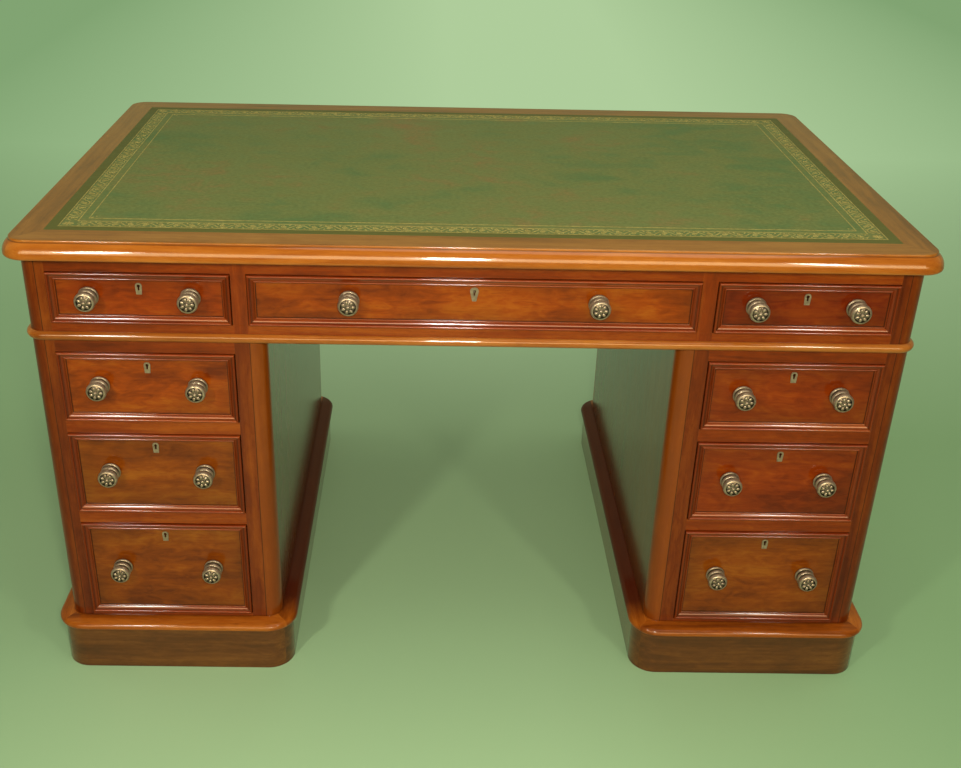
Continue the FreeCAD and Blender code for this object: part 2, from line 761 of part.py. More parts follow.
def drawer(name, bay_x, bay_z, spread, front_tails, kind):
    """One drawer: its front, box, knobs, lock and bolt as five sub-parts."""
    gap = "sizes.drawer_gap"
    thick = "sizes.drawer_side_thickness"
    left = f"({bay_x[0]} + {gap})"
    right = f"({bay_x[1]} - {gap})"
    middle = f"(({bay_x[0]} + {bay_x[1]}) / 2)"
    floor = bay_z[0]
    low = f"({floor} + {gap})"
    high = f"({bay_z[1]} - {gap})"
    side_high = f"({high} - sizes.drawer_side_drop)"
    bottom_low = f"({floor} + sizes.drawer_bottom_lift)"
    bottom_high = f"({bottom_low} + sizes.drawer_bottom_thickness)"
    back_high = f"({side_high} - sizes.drawer_back_drop)"
    knob_z = f"(({floor} + {bay_z[1]}) / 2 + sizes.knob_rise)"
    key_z = f"({bay_z[1]} - sizes.keyhole_drop)"
    tail_length = "(sizes.front_thickness - sizes.dovetail_lap)"

    # Sides, with tails at both ends and a groove for the bottom.
    grooved = (bottom_low, bottom_high)
    boards = []
    front_sockets = []
    back_sockets = []
    for side, x in (("left", left), ("right", f"({right} - {thick})")):
        front_row = tails(
            f"{name}_{side}_front_tail",
            x,
            f"({DRAWER_INNER} - {tail_length})",
            tail_length,
            low,
            side_high,
            front_tails,
            True,
        )
        back_row = tails(
            f"{name}_{side}_back_tail",
            x,
            DRAWER_BACK_FACE,
            "sizes.drawer_back_thickness",
            bottom_high,
            back_high,
            front_tails,
            False,
        )
        front_sockets.extend(front_row)
        back_sockets.extend(back_row)
        board_x = (x, f"({x} + {thick})")
        board = box(f"{name}_{side}_board", board_x, (DRAWER_INNER, DRAWER_BACK_FACE), (floor, side_high))
        if side == "left":
            groove_x = (f"({x} + {thick} - sizes.side_groove_depth)", f"({x} + {thick})")
        else:
            groove_x = (x, f"({x} + sizes.side_groove_depth)")
        groove = box(f"{name}_{side}_groove", groove_x, (DRAWER_INNER, DRAWER_BACK_FACE), grooved)
        tailed = fused(f"{name}_{side}_tailed", [board] + front_row + back_row)
        boards.append(cut(f"{name}_{side}_side", tailed, [groove]))
    back_blank = box(
        f"{name}_back_blank", (left, right), (DRAWER_BACK_FACE, DRAWER_REAR), (bottom_high, back_high)
    )
    boards.append(cut(f"{name}_back", back_blank, back_sockets))
    inset = f"({thick} - sizes.side_groove_depth)"
    bottom_x = (f"({left} + {inset})", f"({right} - {inset})")
    bottom_front = f"({DRAWER_INNER} - sizes.front_groove_depth)"
    boards.append(box(f"{name}_bottom", bottom_x, (bottom_front, DRAWER_REAR), grooved))

    # Front, with its sockets, groove, lock sinking, keyhole and stem holes.
    blank = box(f"{name}_front_blank", (left, right), (DRAWER_FACE, DRAWER_INNER), (low, high))
    half_lock = "sizes.lock_width / 2"
    lock_x = (f"({middle} - {half_lock})", f"({middle} + {half_lock})")
    lock_z = (f"({high} - sizes.lock_height)", high)
    lock_y = (LOCK_FRONT, DRAWER_INNER)
    tools = front_sockets + [
        box(f"{name}_front_groove", bottom_x, (bottom_front, DRAWER_INNER), grooved),
        box(f"{name}_lock_sinking", lock_x, lock_y, lock_z),
    ]
    tools.extend(keyhole(f"{name}_keyhole", middle, key_z, (DRAWER_FACE, LOCK_FRONT)))
    hole = "(sizes.knob_stem_radius + sizes.knob_stem_gap)"
    for side, sign in (("left", "-"), ("right", "+")):
        x = f"({middle} {sign} {spread})"
        tools.append(bar(f"{name}_{side}_stem_hole", x, knob_z, hole, (DRAWER_FACE, DRAWER_INNER)))
    front = cut(f"{name}_front_board", blank, tools)
    node(f"{name}_front", [front] + front_mouldings(name, left, right, low, high))
    node(f"{name}_box", boards)
    node(f"{name}_knobs", knob_pair(f"{name}_knob", middle, knob_z, spread))

    # Lock: a case with a well for the bolt, open above, and its escutcheon.
    half_bolt = "sizes.bolt_width / 2"
    slack = "sizes.bolt_gap"
    bolt_low = f"({high} - sizes.bolt_length)"
    case_blank = box(f"{name}_lock_blank", lock_x, lock_y, lock_z)
    well = box(
        f"{name}_lock_well",
        (f"({middle} - {half_bolt} - {slack})", f"({middle} + {half_bolt} + {slack})"),
        (f"({BOLT_FRONT} - {slack})", f"({BOLT_BACK} + {slack})"),
        (bolt_low, high),
    )
    pin_way = keyhole(f"{name}_lock_keyhole", middle, key_z, (LOCK_FRONT, BOLT_FRONT))
    case = cut(f"{name}_lock_case", case_blank, [well] + pin_way)
    node(f"{name}_lock", [case, escutcheon(f"{name}_escutcheon", middle, key_z, kind)])
    bolt_x = (f"({middle} - {half_bolt})", f"({middle} + {half_bolt})")
    node(f"{name}_bolt", [box(f"{name}_bolt_bar", bolt_x, (BOLT_FRONT, BOLT_BACK), (bolt_low, high))])


def mortised_rail(name, x, z, mortise_middles):
    """Front rail with a mortise in its underside for each lock bolt below it."""
    rail = box(f"{name}_blank" if mortise_middles else name, x, (FRONT, RAIL_BACK), z)
    if not mortise_middles:
        return rail
    slack = "sizes.mortise_gap"
    half_bolt = "sizes.bolt_width / 2"
    tools = [
        box(
            f"{name}_mortise_{number}",
            (f"({middle} - {half_bolt} - {slack})", f"({middle} + {half_bolt} + {slack})"),
            (f"({BOLT_FRONT} - {slack})", f"({BOLT_BACK} + {slack})"),
            (z[0], f"({z[0]} + sizes.bolt_travel + {slack})"),
        )
        for number, middle in enumerate(mortise_middles)
    ]
    return cut(name, rail, tools)


def stops(name, bay_x, floor):
    """Two small blocks behind a drawer front that stop the drawer flush."""
    middle = f"(({bay_x[0]} + {bay_x[1]}) / 2)"
    half = "sizes.stop_length / 2"
    made = []
    for side, sign in (("left", "-"), ("right", "+")):
        x = f"({middle} {sign} sizes.stop_spread)"
        made.append(
            box(
                f"{name}_{side}_stop",
                (f"({x} - {half})", f"({x} + {half})"),
                (DRAWER_INNER, f"({DRAWER_INNER} + sizes.stop_depth)"),
                (floor, f"({floor} + sizes.stop_height)"),
            )
        )
    return made


CASE_SPAN = (f"(-{HALF_CASE})", HALF_CASE)
PANEL_DEPTH = (POSTS_FRONT, POSTS_BACK)
BEHIND_RAIL = (RAIL_BACK, POSTS_BACK)
SIDE_BAY = (BAY_INNER, BAY_OUTER)
CENTRE_SPAN = (f"(-{CENTRE_BAY})", CENTRE_BAY)
FRIEZE_LEVELS = (PEDESTAL_TOP, FRIEZE_TOP)
PEDESTAL_LEVELS = (PLINTH_TOP, PEDESTAL_TOP)
BAYS = (
    ("bottom", (BOTTOM_BAY_LOW, BOTTOM_BAY_HIGH), 4),
    ("middle", (MIDDLE_BAY_LOW, MIDDLE_BAY_HIGH), 3),
    ("top", (TOP_BAY_LOW, TOP_BAY_HIGH), 3),
)
FRIEZE_BAY = (FRIEZE_BAY_LOW, FRIEZE_BAY_HIGH)
FRIEZE_TAILS = 2
SIDES = ("left", "right")

posts = case_posts("frieze_post", CASE_SPAN, (OUTER_STILE, OUTER_STILE), FRIEZE_LEVELS)
panels = []
backs = []
rails = []
boards = []
runners = []
plinths = []
nosings = []
blocks = []

# Frieze unit.
frieze_ends = [
    box(f"frieze_{side}_end", on_side(side, (OUTER_WALL, HALF_CASE)), PANEL_DEPTH, FRIEZE_LEVELS)
    for side in SIDES
]
back_reach = f"({HALF_CASE} - {BACK_STILE})"
frieze_back = box("frieze_back_panel", (f"(-{back_reach})", back_reach), (BACK_WALL, BACK), FRIEZE_LEVELS)
side_middle = f"(({BAY_INNER} + {BAY_OUTER}) / 2)"
across = (f"(-{BAY_OUTER})", BAY_OUTER)
frieze_rails = [
    mortised_rail(
        "frieze_top_rail", across, (FRIEZE_BAY_HIGH, FRIEZE_TOP), [f"(-{side_middle})", ZERO, side_middle]
    ),
    mortised_rail("frieze_bottom_rail", across, (PEDESTAL_TOP, FRIEZE_BAY_LOW), []),
]
for side in SIDES:
    divider_x = on_side(side, (CENTRE_BAY, BAY_INNER))
    frieze_rails.append(box(f"frieze_{side}_divider", divider_x, (FRONT, BACK_WALL), FRIEZE_BAY))
    guide_x = on_side(side, (BAY_OUTER, OUTER_WALL))
    guide_z = (FRIEZE_BAY_LOW, f"({FRIEZE_BAY_LOW} + sizes.guide_height)")
    runners.append(box(f"frieze_{side}_guide", guide_x, PANEL_DEPTH, guide_z))
    kicker_z = (FRIEZE_BAY_HIGH, FRIEZE_TOP)
    outer_x = on_side(side, (f"({BAY_OUTER} - sizes.runner_lap)", OUTER_WALL))
    runners.append(box(f"frieze_{side}_outer_kicker", outer_x, BEHIND_RAIL, kicker_z))
    inner_x = on_side(side, (f"({CENTRE_BAY} - sizes.runner_lap)", f"({BAY_INNER} + sizes.runner_lap)"))
    runners.append(box(f"frieze_{side}_inner_kicker", inner_x, BEHIND_RAIL, kicker_z))
    runners.extend(stops(f"frieze_{side}", on_side(side, SIDE_BAY), FRIEZE_BAY_LOW))
runners.extend(stops("frieze_centre", CENTRE_SPAN, FRIEZE_BAY_LOW))
dust_x = (f"(-{OUTER_WALL})", OUTER_WALL)
boards.append(box("frieze_dust_board", dust_x, BEHIND_RAIL, (DUST_BOARD_LOW, FRIEZE_BAY_LOW)))

# Pedestals.
for side in SIDES:
    case = on_side(side, (KNEE_SIDE, HALF_CASE))
    stiles = (INNER_STILE, OUTER_STILE) if side == "right" else (OUTER_STILE, INNER_STILE)
    posts.extend(case_posts(f"{side}_pedestal_post", case, stiles, PEDESTAL_LEVELS))
    for wall, span in (("outer", (OUTER_WALL, HALF_CASE)), ("inner", (KNEE_SIDE, INNER_WALL))):
        panels.append(
            box(f"{side}_pedestal_{wall}_side", on_side(side, span), PANEL_DEPTH, PEDESTAL_LEVELS)
        )
    back_x = on_side(side, (f"({KNEE_SIDE} + {BACK_STILE})", f"({HALF_CASE} - {BACK_STILE})"))
    backs.append(box(f"{side}_pedestal_back", back_x, (BACK_WALL, BACK), PEDESTAL_LEVELS))
    bay = on_side(side, SIDE_BAY)
    middle = f"(({bay[0]} + {bay[1]}) / 2)"
    for rail_name, rail_z, mortises in (
        ("base", (PLINTH_TOP, BOTTOM_BAY_LOW), []),
        ("lower", (BOTTOM_BAY_HIGH, MIDDLE_BAY_LOW), [middle]),
        ("upper", (MIDDLE_BAY_HIGH, TOP_BAY_LOW), [middle]),
        ("top", (TOP_BAY_HIGH, PEDESTAL_TOP), [middle]),
    ):
        rails.append(mortised_rail(f"{side}_pedestal_{rail_name}_rail", bay, rail_z, mortises))
    inside = on_side(side, (INNER_WALL, OUTER_WALL))
    thick = "sizes.pedestal_board_thickness"
    top_z = (f"({PEDESTAL_TOP} - {thick})", PEDESTAL_TOP)
    boards.append(box(f"{side}_pedestal_top_board", inside, BEHIND_RAIL, top_z))
    bottom_z = (f"({BOTTOM_BAY_LOW} - {thick})", BOTTOM_BAY_LOW)
    boards.append(box(f"{side}_pedestal_bottom_board", inside, BEHIND_RAIL, bottom_z))
    for bay_name, bay_z, _ in BAYS:
        name = f"{side}_{bay_name}"
        for wall, guide_span, runner_span in (
            ("outer", (BAY_OUTER, OUTER_WALL), (f"({BAY_OUTER} - sizes.runner_lap)", OUTER_WALL)),
            ("inner", (INNER_WALL, BAY_INNER), (INNER_WALL, f"({BAY_INNER} + sizes.runner_lap)")),
        ):
            guide_z = (bay_z[0], f"({bay_z[0]} + sizes.guide_height)")
            runners.append(box(f"{name}_{wall}_guide", on_side(side, guide_span), PANEL_DEPTH, guide_z))
            if bay_name == "bottom":
                continue
            runner_z = (f"({bay_z[0]} - sizes.pedestal_rail_height)", bay_z[0])
            runners.append(box(f"{name}_{wall}_runner", on_side(side, runner_span), BEHIND_RAIL, runner_z))
        runners.extend(stops(name, bay, bay_z[0]))
    plinths.extend(plinth_lengths(side, case))
    nosings.extend(plinth_mouldings(side, case))
    slack = "sizes.block_gap"
    block_x = on_side(side, (f"({OUTER_WALL} - {slack} - sizes.block_width)", f"({OUTER_WALL} - {slack})"))
    block_z = (PEDESTAL_TOP, f"({DUST_BOARD_LOW} - {slack})")
    front_y = (f"({RAIL_BACK} + {slack})", f"({RAIL_BACK} + {slack} + sizes.block_length)")
    back_y = (f"({POSTS_BACK} - {slack} - sizes.block_length)", f"({POSTS_BACK} - {slack})")
    blocks.append(box(f"{side}_front_block", block_x, front_y, block_z))
    blocks.append(box(f"{side}_back_block", block_x, back_y, block_z))

top_board()
leather_x = "(sizes.top_width / 2 - sizes.leather_margin)"
leather_front = f"({FRONT} - sizes.top_overhang + sizes.leather_margin)"
leather_back = f"({BACK} + sizes.top_overhang - sizes.leather_margin)"
leather_top = f"({FRIEZE_TOP} + sizes.top_thickness)"
leather = box(
    "leather_sheet",
    (f"(-{leather_x})", leather_x),
    (leather_front, leather_back),
    (f"({leather_top} - sizes.leather_thickness)", leather_top),
)
node("leather_skiver", [leather])
node("corner_posts", posts)
node("frieze_ends", frieze_ends)
node("frieze_back", [frieze_back])
node("frieze_rails", frieze_rails)
node("frieze_bead", bead_lengths())
node("pedestal_sides", panels)
node("pedestal_backs", backs)
node("pedestal_rails", rails)
node("carcase_boards", boards)
node("drawer_runners", runners)
node("plinth_boards", plinths)
node("plinth_mouldings", nosings)
node("locating_blocks", blocks)

# Drawers.
for side in SIDES:
    for bay_name, bay_z, tail_count in BAYS + (("frieze", FRIEZE_BAY, FRIEZE_TAILS),):
        drawer(
            f"{side}_{bay_name}",
            on_side(side, SIDE_BAY),
            bay_z,
            "sizes.side_knob_spread",
            tail_count,
            "escutcheon",
        )
drawer(
    "centre_frieze",
    CENTRE_SPAN,
    FRIEZE_BAY,
    "sizes.centre_knob_spread",
    FRIEZE_TAILS,
    "centre_escutcheon",
)

doc.recompute()

for made in doc.Objects:
    if "Invalid" in made.State or "Error" in made.State:
        raise RuntimeError(f"{made.Label} did not build: {made.State}")

os.makedirs("parts", exist_ok=True)
for group in nodes:
    shape = group.Shape
    if shape.isNull() or not shape.isValid():
        raise RuntimeError(f"{group.Label} has no valid shape")
    shape.exportStep(f"parts/{group.Label}.step")
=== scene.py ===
"""Looks of the pedestal desk: polished mahogany, a tooled leather top and cast brass knobs."""

import json
import logging
import math
from dataclasses import dataclass, field, replace
from enum import Enum
from typing import Any, Dict, List, Optional, Sequence, Tuple, Union

import bmesh
import bpy
from mathutils import Matrix, Vector

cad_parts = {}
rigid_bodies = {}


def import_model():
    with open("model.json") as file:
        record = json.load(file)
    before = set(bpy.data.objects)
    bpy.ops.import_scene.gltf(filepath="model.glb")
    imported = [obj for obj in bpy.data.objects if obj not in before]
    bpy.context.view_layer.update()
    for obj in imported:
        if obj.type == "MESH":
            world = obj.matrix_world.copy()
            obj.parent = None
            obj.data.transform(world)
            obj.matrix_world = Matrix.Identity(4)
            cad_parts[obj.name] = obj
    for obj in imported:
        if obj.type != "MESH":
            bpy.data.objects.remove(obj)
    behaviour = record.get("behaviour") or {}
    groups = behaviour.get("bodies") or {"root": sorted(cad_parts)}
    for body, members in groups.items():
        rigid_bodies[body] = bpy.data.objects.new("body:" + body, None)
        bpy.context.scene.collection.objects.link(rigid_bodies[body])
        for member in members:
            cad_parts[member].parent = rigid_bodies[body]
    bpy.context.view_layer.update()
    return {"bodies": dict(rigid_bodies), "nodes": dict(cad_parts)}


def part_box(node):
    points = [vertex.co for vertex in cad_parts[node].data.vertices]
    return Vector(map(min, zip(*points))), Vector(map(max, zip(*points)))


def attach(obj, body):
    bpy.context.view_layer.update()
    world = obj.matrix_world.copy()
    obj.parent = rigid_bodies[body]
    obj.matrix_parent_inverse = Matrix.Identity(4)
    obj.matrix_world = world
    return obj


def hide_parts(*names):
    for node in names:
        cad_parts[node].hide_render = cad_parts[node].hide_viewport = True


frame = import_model()

LOG = logging.getLogger("pedestal_desk")
MM = 0.001
FULL_TURN = 2 * math.pi
DESK_BODY = "desk"

Colour = Tuple[float, float, float, float]
Triple = Tuple[float, float, float]
Pair = Tuple[float, float]
Shape = bmesh.types.BMesh
Material = bpy.types.Material
Node = bpy.types.Node
Socket = bpy.types.NodeSocket
Value = Union[float, Socket]


def tone(red: float, green: float, blue: float) -> Colour:
    """Returns an opaque linear colour."""
    return (red, green, blue, 1.0)


def tones(*shades: Triple) -> Tuple[Colour, ...]:
    """Returns opaque linear colours: the dark, the middle and the light one of a wood."""
    return tuple(tone(*shade) for shade in shades)


def span(low: float, high: float) -> Pair:
    """Returns the middle of a stretch and half its length."""
    return (low + high) / 2, (high - low) / 2


def from_middle(node: str) -> Pair:
    """Returns how far a CAD node's inner and outer faces lie from the middle of the desk."""
    inner = min(abs(v.co.x) for v in frame["nodes"][node].data.vertices)
    return inner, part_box(node)[1].x


class SocketKind(Enum):
    """Kinds of socket on a node group."""

    VALUE = "NodeSocketFloat"
    COLOUR = "NodeSocketColor"
    VECTOR = "NodeSocketVector"


class Run(Enum):
    """Which way a board's grain runs, as the order of its axes with the grain's first."""

    LENGTHWISE = ("X", "Y", "Z")
    CROSSWISE = ("Y", "X", "Z")
    UPRIGHT = ("Z", "X", "Y")


# Node trees


@dataclass(frozen=True)
class Noise:
    """A noise texture: its repeats per metre along each axis, and how it is broken up."""

    stretch: Triple
    detail: float = 2.0
    roughness: float = 0.5
    distortion: float = 0.0


class Graph:
    """Adds nodes and links to one node tree."""

    def __init__(self, tree: bpy.types.NodeTree) -> None:
        """Keeps the tree that nodes are added to."""
        self.tree = tree

    def feed(self, socket: Socket, value: Any) -> None:
        """Links a socket to another one, or sets its own value.

        Args:
            socket: the input socket.
            value: an output socket, or a plain value.
        """
        if isinstance(value, Socket):
            self.tree.links.new(value, socket)
        else:
            socket.default_value = value

    def node(self, kind: str, inputs: Optional[Dict[Any, Any]] = None, **settings: Any) -> Node:
        """Adds a node.

        Args:
            kind: Blender's name of the node type.
            inputs: values or sockets by the input's name or number.
            **settings: properties of the node, which are set first.

        Returns:
            The new node.
        """
        made = self.tree.nodes.new(kind)
        for key, value in settings.items():
            setattr(made, key, value)
        for key, value in (inputs or {}).items():
            self.feed(made.inputs[key], value)
        return made

    def math(self, operation: str, first: Value, second: Value = 0.0) -> Socket:
        """Returns the result of a math node on two values."""
        return self.node("ShaderNodeMath", {0: first, 1: second}, operation=operation).outputs[0]

    def vector(self, operation: str, first: Any, second: Any) -> Socket:
        """Returns the result of a vector math node."""
        return self.node("ShaderNodeVectorMath", {0: first, 1: second}, operation=operation).outputs[0]

    def mix(self, factor: Value, first: Any, second: Any) -> Socket:
        """Returns two colours mixed by a factor."""
        return self.node("ShaderNodeMix", {0: factor, 6: first, 7: second}, data_type="RGBA").outputs[2]

    def pick(self, factor: Value, first: Any, second: Any) -> Socket:
        """Returns two vectors mixed by a factor."""
        return self.node("ShaderNodeMix", {0: factor, 4: first, 5: second}, data_type="VECTOR").outputs[1]

    def spread(self, value: Value, low: float, high: float, start: Value = 0.0, end: Value = 1.0) -> Socket:
        """Returns a value moved from the range low to high to the range start to end, clamped."""
        inputs = {"Value": value, "From Min": low, "From Max": high, "To Min": start, "To Max": end}
        return self.node("ShaderNodeMapRange", inputs).outputs[0]

    def between(self, share: Value, first: float, second: float) -> Socket:
        """Returns a value between two others, by a share from 0 to 1."""
        return self.spread(share, 0.0, 1.0, first, second)

    def noise(self, vector: Socket, kind: Noise, colour: bool = False) -> Socket:
        """Adds a noise texture.

        Args:
            vector: the coordinates to read.
            kind: how the noise is stretched and broken up.
            colour: whether its colour is wanted, and not its value.

        Returns:
            The noise's value or colour.
        """
        inputs = {
            "Vector": self.vector("MULTIPLY", vector, kind.stretch),
            "Scale": 1.0,
            "Detail": kind.detail,
            "Roughness": kind.roughness,
            "Distortion": kind.distortion,
        }
        return self.node("ShaderNodeTexNoise", inputs).outputs[int(colour)]

    def split(self, vector: Socket) -> Dict[str, Socket]:
        """Returns a vector's three parts by the names of their axes."""
        made = self.node("ShaderNodeSeparateXYZ", {0: vector})
        return {axis: made.outputs[axis] for axis in "XYZ"}

    def joined(self, parts: Dict[str, Socket], run: Run) -> Socket:
        """Returns a vector made of parts, with the one along the grain first."""
        chosen = {number: parts[axis] for number, axis in enumerate(run.value)}
        return self.node("ShaderNodeCombineXYZ", chosen).outputs[0]

    def away(self, part: Socket, spot: float) -> Socket:
        """Returns how far a coordinate lies from a spot, to either side."""
        return self.math("ABSOLUTE", self.math("SUBTRACT", part, spot))

    def inset(self, part: Socket, stretch: Pair) -> Socket:
        """Returns how far inside a stretch a coordinate lies, from the nearer end."""
        return self.math("SUBTRACT", stretch[1], self.away(part, stretch[0]))

    def bump(self, height: Socket, strength: float, depth: float, below: Optional[Socket] = None) -> Socket:
        """Returns the normal of a bumped surface, over the normal below it where one is given."""
        inputs = {"Strength": strength, "Distance": depth, "Height": height}
        if below is not None:
            inputs["Normal"] = below
        return self.node("ShaderNodeBump", inputs).outputs[0]

    def effect(self, group: bpy.types.NodeTree, inputs: Dict[str, Any]) -> Node:
        """Places a node group with its own values."""
        return self.node("ShaderNodeGroup", inputs, node_tree=group)

    def place(self) -> Socket:
        """Returns the piece's own coordinates, in metres."""
        return self.node("ShaderNodeTexCoord").outputs["Object"]

    def surface(self, inputs: Dict[str, Any]) -> None:
        """Adds the material's shader and its output."""
        shader = self.node("ShaderNodeBsdfPrincipled", inputs)
        self.node("ShaderNodeOutputMaterial", {"Surface": shader.outputs[0]})


def new_material(name: str) -> Tuple[Material, Graph]:
    """Returns an empty node material and the graph that fills it."""
    made = bpy.data.materials.new(name)
    made.use_nodes = True
    made.node_tree.nodes.clear()
    return made, Graph(made.node_tree)


class Effect:
    """A node group that several materials share, built when it is first asked for."""

    name = ""
    inputs: Dict[str, SocketKind] = {}
    outputs: Dict[str, SocketKind] = {}
    _built: Dict[str, bpy.types.NodeTree] = {}

    @classmethod
    def tree(cls) -> bpy.types.NodeTree:
        """Returns the group's node tree."""
        if cls.name not in Effect._built:
            Effect._built[cls.name] = cls._build()
        return Effect._built[cls.name]

    @classmethod
    def _build(cls) -> bpy.types.NodeTree:
        """Makes the tree with its sockets, and returns it filled in."""
        made = bpy.data.node_groups.new(cls.name, "ShaderNodeTree")
        for direction, sockets in (("INPUT", cls.inputs), ("OUTPUT", cls.outputs)):
            for name, kind in sockets.items():
                made.interface.new_socket(name=name, in_out=direction, socket_type=kind.value)
        graph = Graph(made)
        graph.node("NodeGroupOutput", cls.fill(graph, graph.node("NodeGroupInput").outputs))
        return made

    @classmethod
    def fill(cls, graph: Graph, source: Any) -> Dict[str, Socket]:
        """Adds the group's nodes.

        Args:
            graph: the graph to add them to.
            source: the group's input sockets by name.

        Returns:
            The socket for each output.
        """
        raise NotImplementedError


class MahoganyGrain(Effect):
    """Streaks, mottled figure and open pores of mahogany, along the first axis of the coordinates."""

    name = "mahogany_grain"
    inputs = {
        "Vector": SocketKind.VECTOR,
        "Dark": SocketKind.COLOUR,
        "Mid": SocketKind.COLOUR,
        "Light": SocketKind.COLOUR,
        "Figure": SocketKind.VALUE,
        "Streaks": SocketKind.VALUE,
    }
    outputs = {"Colour": SocketKind.COLOUR, "Height": SocketKind.VALUE, "Roughness": SocketKind.VALUE}
    pull = Noise((3.0, 8.0, 8.0))
    pull_reach = (0.0, 30 * MM, 30 * MM)
    streak = Noise((3.0, 95.0, 95.0), detail=5.0, roughness=0.62)
    band = Noise((1.1, 17.0, 17.0))
    mottle = Noise((30.0, 84.0, 84.0), detail=4.0, roughness=0.6, distortion=0.9)
    flame = Noise((8.0, 15.0, 15.0), detail=1.0, distortion=0.6)
    flame_share = 0.8
    pore = Noise((45.0, 1300.0, 1300.0), detail=1.0)
    pore_levels = (0.58, 0.74)
    pore_dark = 0.5
    dark_level = 0.16
    even = 0.5
    light_level = 0.86
    relief = 0.3
    least_roughness = 0.24
    mottle_roughness = 0.16

    @classmethod
    def fill(cls, graph: Graph, source: Any) -> Dict[str, Socket]:
        """Adds the grain's nodes; see Effect.fill."""
        place = source["Vector"]
        pull = graph.vector("SUBTRACT", graph.noise(place, cls.pull, colour=True), (cls.even,) * 3)
        wavy = graph.vector("ADD", place, graph.vector("MULTIPLY", pull, cls.pull_reach))
        lines = []
        for kind in (cls.streak, cls.band):
            line = graph.math("SUBTRACT", graph.noise(wavy, kind), cls.even)
            lines.append(graph.math("MULTIPLY", line, source["Streaks"]))
        mottle = graph.noise(wavy, cls.mottle)
        flame = graph.math("MULTIPLY", graph.noise(wavy, cls.flame), cls.flame_share)
        cloud = graph.math("SUBTRACT", graph.math("ADD", mottle, flame), cls.even * (1 + cls.flame_share))
        figure = graph.math("MULTIPLY", cloud, source["Figure"])
        level = graph.math("ADD", graph.math("ADD", *lines), graph.math("ADD", figure, cls.even))
        colour = graph.mix(graph.spread(level, cls.dark_level, cls.even), source["Dark"], source["Mid"])
        colour = graph.mix(graph.spread(level, cls.even, cls.light_level), colour, source["Light"])
        open_pore = graph.spread(graph.noise(wavy, cls.pore), *cls.pore_levels)
        colour = graph.mix(graph.math("MULTIPLY", open_pore, cls.pore_dark), colour, source["Dark"])
        height = graph.math("SUBTRACT", graph.math("MULTIPLY", level, cls.relief), open_pore)
        rough = graph.math("MULTIPLY", mottle, cls.mottle_roughness)
        rough = graph.math("ADD", rough, cls.least_roughness)
        return {"Colour": colour, "Height": height, "Roughness": rough}


class Patina(Effect):
    """Darkening in corners, found by ambient occlusion, which is soiling and painted shade; and colour that
    hands rub off along edges.
    """

    name = "patina"
    inputs = {
        "Colour": SocketKind.COLOUR,
        "Dirt_and_shade": SocketKind.COLOUR,
        "Bare": SocketKind.COLOUR,
        "Grime_and_shade": SocketKind.VALUE,
        "Rub": SocketKind.VALUE,
        "Reach": SocketKind.VALUE,
        "Vector": SocketKind.VECTOR,
    }
    outputs = {"Colour": SocketKind.COLOUR}
    rays = 4
    nook_levels = (0.75, 0.2)
    edge_levels = (0.75, 0.3)
    edge_share = 0.25
    patch = Noise((38.0, 38.0, 38.0), detail=3.0)
    patch_levels = (0.38, 0.62)
    patch_least = 0.15

    @classmethod
    def fill(cls, graph: Graph, source: Any) -> Dict[str, Socket]:
        """Adds the patina's nodes; see Effect.fill."""
        kind = "ShaderNodeAmbientOcclusion"
        # Soiling and painted shade: darker wherever ambient occlusion finds a corner.
        nook = graph.node(kind, {"Distance": source["Reach"]}, samples=cls.rays)
        reach = graph.math("MULTIPLY", source["Reach"], cls.edge_share)
        edge = graph.node(kind, {"Distance": reach}, samples=cls.rays, inside=True, only_local=True)
        grime_and_shade = graph.spread(nook.outputs["AO"], *cls.nook_levels, 0.0, source["Grime_and_shade"])
        rub = graph.spread(edge.outputs["AO"], *cls.edge_levels, 0.0, source["Rub"])
        patch = graph.spread(graph.noise(source["Vector"], cls.patch), *cls.patch_levels, cls.patch_least)
        colour = graph.mix(graph.math("MULTIPLY", rub, patch), source["Colour"], source["Bare"])
        return {"Colour": graph.mix(grime_and_shade, colour, source["Dirt_and_shade"])}


# Finishes


@dataclass(frozen=True)
class DirtAndShadeLine:
    """A fine dark line, as soiling in joints, tarnish in grooves and painted shade in quirks: half its
    width, its strength, and the share of the width that has all of it.
    """

    half: float
    strength: float
    core_share: float = 0.0

    def draw(self, graph: Graph, colour: Socket, part: Socket, spot: float, dirt_and_shade: Colour) -> Socket:
        """Draws the line where a coordinate passes a spot.

        Args:
            graph: the graph to add nodes to.
            colour: the colour to draw on.
            part: the coordinate.
            spot: the line's place along it.
            dirt_and_shade: the line's colour.

        Returns:
            The colour with the line.
        """
        away = graph.away(part, spot)
        dirty = graph.spread(away, self.half, self.core_share * self.half, 0.0, self.strength)
        return graph.mix(dirty, colour, dirt_and_shade)


@dataclass(frozen=True)
class Ring:
    """Boards laid round a rectangle: those at its left and right have their grain crosswise."""

    width: Pair
    depth: Pair
    reach: float
    paired: bool

    @classmethod
    def around(cls, node: str, reach: float = 1.0, paired: bool = False) -> "Ring":
        """Measures the ring of a CAD node's boards.

        Args:
            node: the CAD node.
            reach: how wide its crosswise boards may be.
            paired: whether it has one such ring on each side of the desk's middle.

        Returns:
            The ring.
        """
        low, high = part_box(node)
        width = from_middle(node) if paired else (low.x, high.x)
        return cls(span(*width), span(low.y, high.y), reach, paired)

    def crosswise(self, graph: Graph, parts: Dict[str, Socket]) -> Socket:
        """Returns a mask of the boards that run crosswise.

        Args:
            graph: the graph to add nodes to.
            parts: the piece's coordinates by axis.

        Returns:
            A value of 1 on crosswise boards and 0 elsewhere.
        """
        across = graph.math("ABSOLUTE", parts["X"]) if self.paired else parts["X"]
        end = graph.math("MINIMUM", graph.inset(parts["Y"], self.depth), self.reach)
        return graph.math("LESS_THAN", graph.inset(across, self.width), end)


